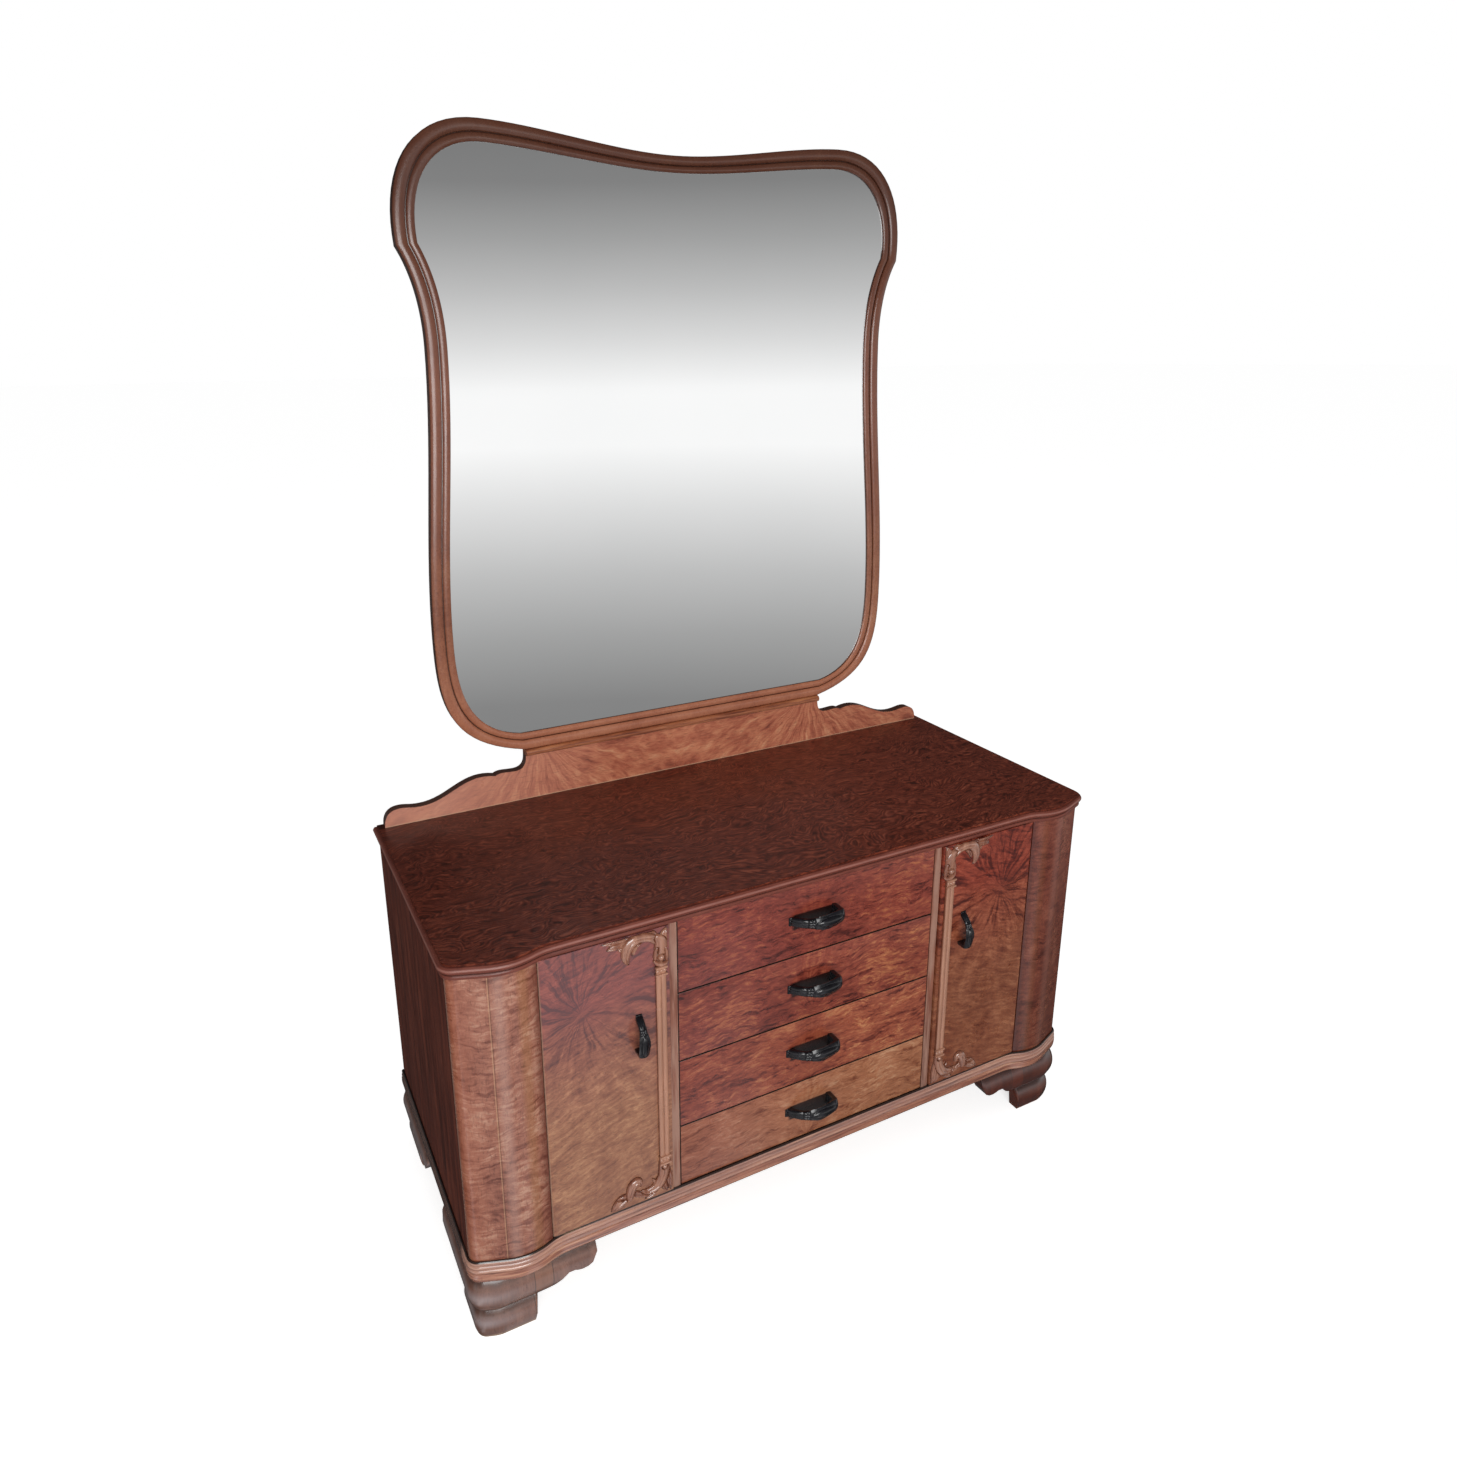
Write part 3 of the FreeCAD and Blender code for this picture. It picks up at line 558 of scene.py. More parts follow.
column_finish = veneer("column_burl", ("#5e2c1e", "#865040", "#9e6652", "#ba8c76"), burl_figure,
                       (500, 500, 120), column_joints, (0.0, 0.35, 0.65, 1.0), roughness=0.26, polish=0.6)
outline = [place for place, outward in corner_half(whole_plan) if place.x > column_low.x]
before = max((place for place, outward in whole_plan if place.x <= column_low.x), key=lambda spot: spot.x)
share = (column_low.x - before.x) / (outline[0].x - before.x)
outline.insert(0, before.lerp(outline[0], share))
outline += [Vector((half_width, column_high.y)), Vector((column_low.x, column_high.y))]
for side, mirror in sides:
    name = "corner_column_" + side
    column = prism([(spot.x * mirror, spot.y) for spot in outline], column_low.z, column_high.z)
    make_piece(name, *column, column_finish, "carcass", "walnut", (name,))

# Top board: a veneered board with an edge moulded round the serpentine: a fillet, a full round and a bead.
# Its dark veneer, partly dark stain and partly painted shade, has a swirling figure under a satin varnish.
top_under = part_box("top_board")[0].z
top_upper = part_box("top_board")[1].z


def swirl_figure(tree, place):
    """Contour lines of a slow noise, like the grain of a wild flat-sawn veneer."""
    bent = waver(tree, waver(tree, place, 3, 0.2), 22, 0.03)
    rings = calc(tree, "SINE", times(tree, cloud(tree, bent, (2.4, 11, 11)), 260))
    fine = cloud(tree, bent, (30, 160, 160))
    return span(tree, calc(tree, "ADD", times(tree, rings, 0.18), fine), 0.2, 0.8)


def moulded_edge(tree, place, shade):
    """Painted shade darkens the left end. The moulding is redder wood, with a painted highlight along its
    round and painted shade in the quirk under it.
    """
    x, y, z = split(tree, place)
    # Painted shade: darker to the left.
    shade = tone(tree, span(tree, x, -0.5, 0.2, 0.8, 0.0), shade, "#ccc8c8", "MULTIPLY")
    below = span(tree, z, top_upper - 2.6 * mm, top_upper - 2.2 * mm, 0.85, 0)
    grain = tone(tree, cloud(tree, place, (30, 30, 300)), "#4c1e18", "#8c4e40")
    # Painted highlight: a pale line along the round.
    wear_and_sheen = strip(tree, z, top_upper - 6.5 * mm, 0.8 * mm, 2 * mm, 0.4)
    grain = tone(tree, wear_and_sheen, grain, "#b88478")
    # Painted shade: a dark line in the quirk below the round.
    quirk_shade = strip(tree, z, top_upper - 15 * mm, 1.0 * mm, 1.6 * mm, 0.8)
    return tone(tree, below, shade, tone(tree, quirk_shade, grain, "#240c09"))


# The top's dark tones are partly painted shade.
top_finish = veneer("top_veneer", ("#471c11", "#6a2e1f", "#7c3928", "#984f38"), swirl_figure, (60, 500, 500),
                    moulded_edge, (0.0, 0.4, 0.7, 1.0), roughness=0.36, polish=0.1, gloss=0.3)
top_rows = [(2 * mm, top_upper), (2 * mm, top_upper - 2.5 * mm)]
top_rows += arc_rows(6 * mm, top_upper - 2.5 * mm, top_upper - 14 * mm, 3.5 * mm, 12)
top_rows += [(4 * mm, top_upper - 14 * mm), (4 * mm, top_upper - 16 * mm)]
top_rows += arc_rows(4.4 * mm, top_upper - 16 * mm, top_under, 1.6 * mm, 8)
count = len(top_rows)
last = (len(whole_plan) - 1) * count
faces = [tuple(range(0, last + 1, count))]
for start in range(0, last, count):
    faces += [(a, a + 1, a + 1 + count, a + count) for a in range(start, start + count - 1)]
faces.append(tuple(range(last + count - 1, 0, -count)))
faces.append(tuple(range(count)) + tuple(range(last + count - 1, last - 1, -1)))
make_piece("top_board_moulded", run_round(top_rows), faces, top_finish, "carcass", "dark_walnut",
           ("top_board",))

# Drawers: beech boxes on runners, each with a solid front faced with book-matched walnut.
# The figure fans out from the middle of each front, the edges are rubbed, and painted shade darkens the gaps,
# the place behind each pull and the left halves.
drawers = ("lower", "third", "second", "upper")
drawer_tones = {
    "lower": ("#793e25", "#9c6243", "#b17654", "#c89976"),
    "third": ("#521b14", "#86402e", "#a4583e", "#c8885c"),
    "second": ("#481612", "#793528", "#954937", "#c07a50"),
    "upper": ("#441410", "#753126", "#934536", "#ba7048"),
}
front_levels = (0.0, 0.3, 0.65, 1.0)


def board_figure(tree, place):
    """Plain grain along a drawer's boards."""
    return span(tree, cloud(tree, waver(tree, place, 6, 0.03), (6, 6, 60), 4.0), 0.3, 0.7)


def feather_figure(foot, seed):
    """Ripples that lie level at the ends and plunge to the lower middle of a front, alike on both halves."""
    def figure(tree, place):
        x, y, z = split(tree, waver(tree, waver(tree, place, 9, 0.04), 45, 0.012))
        across = calc(tree, "ABSOLUTE", x)
        fan = calc(tree, "ARCTAN2", calc(tree, "SUBTRACT", z, foot), calc(tree, "ADD", across, 4 * mm))
        streak = cloud(tree, join(tree, fan, across, seed), (9, 12, 1), 4.0, 0.6)
        near = span(tree, across, 10 * mm, 100 * mm, 0.35, 0.0)
        flat = join(tree, across, z, seed)
        ripple = cloud(tree, flat, (55, 240, 1), 5.0, 0.7)
        soft = blend(tree, 0.38, ripple, cloud(tree, flat, (14, 22, 1)))
        soft = span(tree, blend(tree, near, soft, streak), 0.37, 0.63, 0.2, 1.0)
        lines = cloud(tree, join(tree, across, z, seed + 9), (22, 125, 1), 4.0, 0.6)
        return calc(tree, "SUBTRACT", soft, span(tree, lines, 0.53, 0.61, 0, 0.36))
    return figure


def worn_edges_and_shade(low, high, pull_height):
    """Edges worn pale in patches, a dark joint down the middle, and painted shade on the left half, in the
    gaps between fronts and behind the pull.
    """
    def tint(tree, place, shade):
        x, y, z = split(tree, place)
        inset = calc(tree, "MINIMUM", calc(tree, "SUBTRACT", z, low.z), calc(tree, "SUBTRACT", high.z, z))
        ends = calc(tree, "SUBTRACT", high.x, calc(tree, "ABSOLUTE", x))
        edge = calc(tree, "MINIMUM", inset, ends)
        broken = times(tree, cloud(tree, place, (45, 45, 300), 4.0), 3 * mm)
        worn = span(tree, calc(tree, "ADD", edge, broken), 1.6 * mm, 2.8 * mm, 0.4, 0)
        shade = tone(tree, worn, shade, "#c08a68")
        shade = tone(tree, strip(tree, x, 0, 0.2 * mm, 0.7 * mm, 0.35), shade, "#5a2c22")
        # Painted shadow behind and under the pull.
        pull_shadow = times(tree, strip(tree, x, 0, 38 * mm, 44 * mm, 1),
                      strip(tree, z, pull_height - 4 * mm, 13 * mm, 15 * mm, 0.96))
        shade = tone(tree, pull_shadow, shade, "#1c0a08")
        # Painted shade: the left half darker, against the lamp's brighter light there.
        shade = tone(tree, span(tree, x, -0.2, 0.1, 1, 0), shade, "#dec8d0", "MULTIPLY")
        # Painted shade in the gaps where two fronts meet.
        gap_shade = times(tree, span(tree, edge, 0.6 * mm, 1.3 * mm, 0.95, 0),
                         span(tree, y, low.y + 4 * mm, low.y + 8 * mm, 1, 0.3))
        return tone(tree, gap_shade, shade, "#140806")
    return tint


def soft_board(name, low, high, finish, body, slot, nodes, ease=1.3 * mm):
    """A board with its arrises eased."""
    shell = bmesh.new()
    bmesh.ops.create_cube(shell, size=1.0)
    size = high - low
    for vert in shell.verts:
        vert.co = Vector(low[i] + (vert.co[i] + 0.5) * size[i] for i in range(3))
    bmesh.ops.bevel(shell, geom=shell.edges[:], offset=ease, segments=3, affect="EDGES", profile=0.5)
    shell.verts.index_update()
    points = [vert.co.copy() for vert in shell.verts]
    faces = [[vert.index for vert in face.verts] for face in shell.faces]
    shell.free()
    make_piece(name, points, faces, finish, body, slot, nodes)


beech = veneer("drawer_beech", ("#a88560", "#bd9b74", "#cbae88"), board_figure, (300, 25, 500),
               roughness=0.55, polish=0.0)
drawer_ply = veneer("drawer_ply", thin_tones, lengthwise_figure, (25, 500, 500), roughness=0.62, polish=0.0)
for drawer in drawers:
    node = drawer + "_drawer_front"
    low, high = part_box(node)
    pull_low, pull_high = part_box(drawer + "_drawer_pull")
    figure = feather_figure(low.z, drawers.index(drawer) + 0.5)
    edges = worn_edges_and_shade(low, high, (pull_low.z + pull_high.z) / 2)
    finish = veneer(drawer + "_drawer_veneer", drawer_tones[drawer], figure, (60, 60, 600), edges,
                    front_levels, roughness=0.28, polish=0.5)
    soft_board(node, low, high, finish, drawer + "_drawer", "figured_walnut", (node,))
    dress(beech, drawer + "_drawer_sides", drawer + "_drawer_back")
    dress(drawer_ply, drawer + "_drawer_bottom")

# Doors: flat veneered panels that swing on pivots in the top and the base.
# The veneer's fine ripples climb towards the drawers from a dark knot near the outer edge.
door_low, door_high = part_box("right_door_panel")
knot_inset = 66 * mm
knot_drop = 112 * mm


def distance(tree, x, y):
    """How far a place on a flat face is from the place where both its measures are nothing."""
    return calc(tree, "SQRT", calc(tree, "ADD", times(tree, x, x), times(tree, y, y)))


def flame_figure(tree, place):
    """Rays from a dark knot near the outer upper part, and below them slanting ripples."""
    x, y, z = split(tree, waver(tree, waver(tree, place, 7, 0.05), 40, 0.01))
    across = calc(tree, "ABSOLUTE", x)
    knot_run = calc(tree, "SUBTRACT", door_high.x - knot_inset, across)
    knot_rise = calc(tree, "SUBTRACT", z, door_high.z - knot_drop)
    reach = distance(tree, knot_run, knot_rise)
    fan = calc(tree, "ARCTAN2", knot_rise, knot_run)
    rays = cloud(tree, join(tree, fan, reach, 0.0), (7, 26, 1), 5.0, 0.7)
    slant = calc(tree, "ADD", z, times(tree, across, 0.3))
    ripple = cloud(tree, join(tree, across, slant, 0.0), (34, 150, 1), 5.0, 0.66)
    soft = span(tree, blend(tree, 0.5, rays, ripple), 0.39, 0.61, 0.28, 1.0)
    spot = distance(tree, calc(tree, "ADD", knot_run, 20 * mm), calc(tree, "SUBTRACT", knot_rise, 20 * mm))
    dark = span(tree, spot, 5 * mm, 40 * mm, 0.3, 0.0)
    above = span(tree, knot_rise, -160 * mm, -20 * mm)
    ray_lines = cloud(tree, join(tree, fan, reach, 4.0), (9, 9, 1), 4.0, 0.6)
    ray_lines = times(tree, span(tree, ray_lines, 0.5, 0.6, 0, 0.5), above)
    lines = cloud(tree, join(tree, across, slant, 4.0), (15, 95, 1), 4.0, 0.6)
    lines = times(tree, span(tree, lines, 0.53, 0.62, 0, 0.45), span(tree, above, 0, 1, 0.35, 0.9))
    return calc(tree, "SUBTRACT", calc(tree, "SUBTRACT", soft, dark), calc(tree, "ADD", ray_lines, lines))


def door_shading(tree, place, shade):
    """Red and purple above, tan below; a painted sheen and a painted reflection on the left door, painted
    shade on the right one and in the gap below; and a pale outer joint.
    """
    x, y, z = split(tree, place)
    patchy = times(tree, cloud(tree, place, (9, 9, 9)), 120 * mm)
    rise = span(tree, calc(tree, "ADD", z, patchy), door_low.z + 260 * mm, door_high.z - 20 * mm)
    ruddy = tone(tree, span(tree, x, -0.1, 0.1), "#da8a94", "#f2969c")
    shade = tone(tree, rise, shade, tone(tree, 0.9, shade, ruddy, "MULTIPLY"))
    # Painted shade: the right door darker, most towards its foot.
    right_door_shade = times(tree, span(tree, x, -0.1, 0.1, 0.0, 0.9), calc(tree, "SUBTRACT", 1.0, rise))
    shade = tone(tree, right_door_shade, shade, "#e6ccc8", "MULTIPLY")
    # Painted sheen: the left door paler.
    shade = tone(tree, span(tree, x, -0.1, 0.1, 0.06, 0.0), shade, "#d0a898")
    # Painted reflection: a purple-grey haze over the upper left door.
    haze = times(tree, span(tree, x, -0.1, 0.1, 0.1, 0.0), rise)
    shade = tone(tree, haze, shade, "#9a7c94")
    # Painted shadow: a dark line along the doors' lower edge.
    gap_shade = span(tree, z, door_low.z + 1.0 * mm, door_low.z + 2.2 * mm, 0.95, 0)
    shade = tone(tree, gap_shade, shade, "#140806")
    inset = calc(tree, "SUBTRACT", door_high.x, calc(tree, "ABSOLUTE", x))
    return tone(tree, span(tree, inset, 0.4 * mm, 1.6 * mm, 0.75, 0), shade, "#c29a84")


door_finish = veneer("door_veneer", ("#54281a", "#7e4a32", "#986446", "#b4825e"), flame_figure,
                     (150, 150, 500), door_shading, front_levels, roughness=0.3, polish=0.5)
dress(door_finish, "left_door_panel", "right_door_panel")

# Door beads: an upright pair of reeds glued to each door beside the drawers, between two small capitals.
# Each capital is a square block with a row of turned beads between two fillets.
bead_width = 17.5 * mm
bead_inset = 7.5 * mm
bead_height = 6 * mm
bead_shoulder = 4.2 * mm
capital_width = 20 * mm
capital_height = 16 * mm
capital_blocks = ((0, 3.2, 8, 0), (3.2, 4.2, 5, -1), (4.2, 11.8, 3.6, -1.4), (11.8, 12.8, 5, -1),
                  (12.8, 16, 8, 0))
turned_bead_radius = 3.4 * mm
turned_bead_spacing = 6.2 * mm
door_face = door_low.y
bead_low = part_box("right_door_bead")[0].z
bead_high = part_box("right_door_bead")[1].z


def bead_tint(tree, place, shade):
    """Dirt and painted shade beside the reeds, and the crests paler, partly wear and partly painted
    highlight.
    """
    x, y, z = split(tree, place)
    # Partly wear, partly painted highlight: the crests paler.
    wear_and_sheen = span(tree, y, door_face - 5.6 * mm, door_face - 3.5 * mm, 0.5, 0)
    shade = tone(tree, wear_and_sheen, shade, "#c8967c")
    # Dirt and painted shade beside the reeds.
    dirt_and_shade = span(tree, y, door_face - 2.4 * mm, door_face - 0.6 * mm, 0, 0.8)
    return tone(tree, dirt_and_shade, shade, "#4a1d12")


bead_wood = veneer("bead_walnut", ("#5c3226", "#8c5842", "#ac7a62"), upright_figure, (400, 400, 60),
                   bead_tint, roughness=0.2, polish=0.8)


def ball_points(centre, radius, rows=8, turns=14):
    """A turned bead as points and faces."""
    points = []
    faces = []
    for row in range(rows + 1):
        lift = math.pi * row / rows
        wide = radius * math.sin(lift)
        for turn in range(turns):
            angle = 2 * math.pi * turn / turns
            points.append((centre[0] + wide * math.cos(angle), centre[1] + radius * math.cos(lift),
                           centre[2] + wide * math.sin(angle)))
    for row in range(rows):
        for turn in range(turns):
            a = row * turns + turn
            b = row * turns + (turn + 1) % turns
            faces.append((a, b, b + turns, a + turns))
    return points, faces


for side, mirror in sides:
    start = door_low.x + bead_inset
    sunk = door_face + 0.5 * mm
    reed = bead_width / 2
    outline = [(mirror * start, sunk)]
    for column in range(2):
        for step in range(13):
            angle = math.pi * step / 12
            run = start + reed * (column + 0.5 - 0.5 * math.cos(angle))
            out = bead_shoulder + (bead_height - bead_shoulder) * math.sin(angle)
            outline.append((mirror * run, door_face - out))
    outline.append((mirror * (start + bead_width), sunk))
    parts = [prism(outline, bead_low + 1 * mm, bead_high - 1 * mm)]
    middle_x = start + bead_width / 2
    for level in (bead_low, bead_high - capital_height):
        for low, high, out, grow in capital_blocks:
            half = capital_width / 2 + grow * mm
            block = [(mirror * (middle_x - half), sunk), (mirror * (middle_x + half), sunk),
                     (mirror * (middle_x + half), door_face - out * mm),
                     (mirror * (middle_x - half), door_face - out * mm)]
            parts.append(prism(block, level + low * mm, level + high * mm))
        for place in (-1, 0, 1):
            centre = (mirror * (middle_x + place * turned_bead_spacing), door_face - 3.8 * mm,
                      level + capital_height / 2)
            parts.append(ball_points(centre, turned_bead_radius))
    make_piece(side + "_door_bead", *gather(parts), bead_wood, side + "_door", "burr_walnut",
               (side + "_door_bead",))

# Carved leaf scrolls: thin solid walnut cut in low relief and glued to each door above and below the bead.
# A stem rises from a ball in a cup, arches over and curls, and sends pointed leaves along the door's edge.
carving_step = 0.7 * mm
carving_length = 118
carving_height = 74
carving_width_share = 1.35


def carved_tint(tree, place, shade):
    """Dirt and painted shade in the cuts, and the crests paler, partly wear and partly painted highlight."""
    x, y, z = split(tree, place)
    # Partly wear, partly painted highlight: the crests paler.
    crests = span(tree, y, door_face - 7.5 * mm, door_face - 4 * mm, 0.35, 0)
    shade = tone(tree, crests, shade, "#c89c88")
    # Dirt and painted shade in the cuts.
    cut_dirt_and_shade = span(tree, y, door_face - 1.7 * mm, door_face - 0.8 * mm, 0, 0.85)
    return tone(tree, cut_dirt_and_shade, shade, "#3a160e")


carved_wood = veneer("carved_walnut", ("#6a3a2c", "#925e48", "#b08068"), upright_figure, (400, 400, 60),
                     carved_tint, roughness=0.16, polish=1.0, relief=0.05)
upper_strokes = (
    ([(68, 6), (80, 5.5), (93, 4.5), (113, 2.5)], [3, 4.6, 3.6, 0.8], [4, 5, 4.5, 2], True),
    ([(75, 10), (86, 12), (96, 12.5), (104, 15)], [3, 4, 3.6, 0.8], [4, 4.5, 4, 2], True),
    ([(75, 24), (82, 19), (87, 17)], [2.8, 2.8, 0.8], [5, 5, 2], True),
    ([(67, 14), (71, 8), (73, 3)], [2.8, 2.8, 0.8], [5, 5, 2], True),
    ([(57, 10), (60, 5), (60, 2)], [2.8, 2.8, 0.8], [5, 5, 2], True),
    ([(47, 9), (48, 4.5), (46, 2)], [2.8, 2.8, 0.8], [5, 5, 2], True),
    ([(41, 12), (50, 14), (56, 20), (60, 27), (63, 36)], [2.4, 3.4, 3.4, 2.9, 0.8], [4, 5, 5, 4, 2], True),
    ([(44, 5), (36, 4.5), (28, 7), (23, 14)], [2.2, 3.6, 4.2, 3], [4, 6, 6, 5], True),
    ([(24, 20), (31, 12.5), (41, 9), (52, 8), (62, 10), (69, 16), (73, 25), (74, 35), (72, 44), (69, 49)],
     [4.5, 5.6, 5.4, 5.6, 6.6, 6.8, 6.2, 4.8, 3, 1], [5, 6.5, 7, 7, 7.5, 7.5, 7, 6, 4, 2], True),
    ([(10, 30), (10, 17), (8, 8), (4, 2)], [5.4, 5, 3.6, 0.8], [6, 6, 5, 2.5], True),
    ([(16, 50), (15, 38), (14.5, 29), (16, 21), (21, 14)], [7.5, 8.5, 8, 6.5, 4],
     [5.5, 6, 6.5, 6.5, 6], False),
    ([(24.5, 56), (24.5, 45), (22, 33)], [1.9, 2.5, 1.6], [4, 5, 4.5], False),
    ([(5, 61), (4.5, 49), (7, 36)], [1.9, 2.5, 1.6], [4, 5, 4.5], False),
    ([(26, 56), (21, 61.5), (14, 64), (8, 64), (4, 61)], [1.9, 2.8, 3, 2.8, 1.9], [4, 6, 6.5, 6, 4], False),
)
lower_strokes = (
    ([(75, 27), (63, 20), (50, 15), (36, 14)], [4, 4, 3.8, 3.6], [4.5, 4.5, 4.5, 5], True),
    ([(33, 16), (42, 9), (52, 6)], [3.3, 3, 1], [4, 4, 2.5], True),
    ([(80, 25), (90, 22), (101, 16.5), (113, 7)], [4.3, 6.6, 6.4, 1], [5, 6.5, 6.5, 2.5], True),
    ([(84, 27), (93, 27.5), (102, 26)], [2, 2.8, 1], [4, 5, 2.5], False),
    ([(12, 54), (8, 35), (8, 18), (5, 6)], [3.6, 4.4, 4, 1.2], [5, 5.5, 5, 2.5], True),
    ([(20, 29), (17, 17), (12, 7)], [4.2, 4.2, 1.4], [5, 5, 3], True),
    ([(33, 31), (38, 40)], [2.8, 1], [5, 3], False),
    ([(17, 67), (17, 55), (19, 43), (23, 34), (29, 26), (38, 21), (48, 20), (58, 24)],
     [7, 7.4, 7, 7, 6.8, 5.6, 4.2, 1.6], [6.5, 6.5, 6.5, 7, 7, 6, 5, 3.5], True),
    ([(80, 22), (78, 34), (74, 44), (67, 48.5), (61.5, 44), (60, 36)], [5, 6, 6.2, 5, 3.8, 1.4],
     [5, 6.5, 7.5, 7, 6, 4], True),
)
upper_balls = ((15.5, 50, 6, 8.5),)
lower_balls = ((17, 60, 5.4, 8),)


def flowing(values, share):
    """A value at a share of the way along some turning points, on a smooth curve through them."""
    values = np.asarray(values, float)
    place = np.clip(share, 0, 1) * (len(values) - 1)
    index = np.minimum(place.astype(int), len(values) - 2)
    t = place - index
    if values.ndim > 1:
        t = t[:, None]
    before = values[np.maximum(index - 1, 0)]
    start = values[index]
    end = values[index + 1]
    after = values[np.minimum(index + 2, len(values) - 1)]
    return 0.5 * (2 * start + (end - before) * t + (2 * before - 5 * start + 4 * end - after) * t ** 2
                  + (3 * start - before - 3 * end + after) * t ** 3)


def relief(strokes, balls, run, rise):
    """Height of the carving over the door's face at some places, in millimetres. Ground is below zero.

    Each stroke lies over the ones before it, with a narrow cut round it. A leaf has a vein along its middle.
    """
    height = np.full(run.shape, -1.0)
    shares = np.linspace(0, 1, 90)
    for line, widths, crests, veined in strokes:
        spots = flowing(line, shares)
        wide = np.maximum(flowing(widths, shares) * carving_width_share, 0.4)
        crest = flowing(crests, shares)
        best = np.full(run.shape, -1.0)
        near = np.full(run.shape, 1e9)
        rim = np.full(run.shape, 1e9)
        for (a, b), w, c in zip(spots, wide, crest):
            gap = np.hypot(run - a, rise - b)
            inside = np.clip(1 - (gap / w) ** 2, 0, None)
            best = np.maximum(best, np.where(inside > 0, c * (0.25 + 0.75 * np.sqrt(inside)), -1.0))
            near = np.minimum(near, gap)
            rim = np.minimum(rim, gap - w)
        vein = 1.9 * np.exp(-(near / 1.1) ** 2) if veined else 0.0
        cut = np.where((rim > 0) & (rim < 1.0), np.minimum(height, 1.2), height)
        height = np.where(best > 0, np.maximum(best - vein, 0.4), cut)
    for a, b, radius, crest in balls:
        gap = np.hypot(run - a, rise - b)
        height = np.where(gap < radius + 0.9, np.minimum(height, 1.5), height)
        height = np.where(gap < radius, crest * np.sqrt(np.clip(1 - (gap / radius) ** 2, 0, None)), height)
    return height


def carving(name, strokes, balls, mirror, edge_z, up, body):
    """A carved scroll as a raised surface whose rim is sunk into the door's face."""
    runs = np.arange(0.6, carving_length, carving_step / mm)
    rises = np.arange(0.6, carving_height, carving_step / mm)
    run, rise = np.meshgrid(runs, rises, indexing="ij")
    height = relief(strokes, balls, run, rise)
    xs = mirror * (door_low.x + run * mm)
    points = np.stack((xs, door_face - height * mm, edge_z + up * rise * mm), axis=2).reshape(-1, 3)
    faces = []
    columns = len(rises)
    for i in range(len(runs) - 1):
        for j in range(columns - 1):
            if height[i:i + 2, j:j + 2].max() > 0:
                a = i * columns + j
                faces.append((a, a + 1, a + columns + 1, a + columns))
    used = sorted(set(index for face in faces for index in face))
    renamed = {old: new for new, old in enumerate(used)}
    kept = [tuple(points[old]) for old in used]
    turned_faces = [tuple(renamed[index] for index in face) for face in faces]
    if mirror * up < 0:
        turned_faces = [tuple(reversed(face)) for face in turned_faces]
    make_piece(name, kept, turned_faces, carved_wood, body, "burr_walnut", sharp=70)


for side, mirror in sides:
    carving(side + "_upper_scroll", upper_strokes, upper_balls, mirror, door_high.z, -1, side + "_door")
    carving(side + "_lower_scroll", lower_strokes, lower_balls, mirror, door_low.z, 1, side + "_door")

# Pulls: glossy near-black bows, moulded with a reeded fan at one end, a band of beads and a long leaf.
# Each is screwed from behind; on the drawers they lie along the front, on the doors they stand upright.
drawer_pull_size = (99 * mm, 28 * mm, 36 * mm)
door_pull_size = (70 * mm, 20 * mm, 27 * mm)
pull_foot = 0.26
pull_tip = 0.76
pull_crest_share = 0.98
pull_dark, tree, shader = new_material("pull_black")
place = own_place(tree)
smear = cloud(tree, place, (90, 90, 90), 4.0)
scratch = cloud(tree, place, (900, 900, 900), 2.0)
bump = wire(tree, "ShaderNodeBump", {"Strength": 0.03, "Distance": 0.2 * mm, "Height": scratch})
feed(tree, shader, {
    "Base Color": tone(tree, span(tree, smear, 0.35, 0.7), "#08070b", "#131118"),
    "Roughness": span(tree, smear, 0.3, 0.7, 0.17, 0.27),
    "Normal": bump.outputs[0],
    "Coat Weight": 0.2,
    "Coat Roughness": 0.1,
})


def pull_half_width(t):
    """Half the pull's width at a share of its length, as a share of its greatest half width."""
    if t < -0.4:
        return 0.62 - 0.06 * (-0.4 - t) / 0.6
    if t < 0.25:
        return 0.62 + 0.38 * math.sin(math.pi / 2 * (t + 0.4) / 0.65)
    width = 0.86 + 0.14 * math.cos(math.pi / 2 * min((t - 0.25) / 0.59, 1))
    return width * math.sqrt(1 - (max(t - 0.84, 0) / 0.2) ** 2)


def pull_relief(t, s):
    """Depth of the pull's flutes, beads and ridged leaf below its bow, as a share of half its width."""
    flutes = abs(math.cos(1.5 * math.pi * s))
    bow = 0.2 + 0.4 * s * s
    if t < -0.5:
        return bow + 0.15 * (1 - flutes) * min((-0.5 - t) / 0.15, 1)
    if t < -0.26:
        row = abs(math.sin(math.pi * (t + 0.5) / 0.12))
        return bow + 0.1 - 0.18 * math.sqrt(flutes * row) * min(1, (-0.26 - t) / 0.05)
    almond = ((t - 0.3) / 0.52) ** 2 + (s / 0.62) ** 2
    groove = math.exp(-((almond - 1) / 0.14) ** 2)
    inside = min(max((1 - almond) / 0.5, 0.0), 1.0)
    return (bow + 0.1 * groove) * (1 - inside) + (0.1 + 0.75 * s * s) * inside


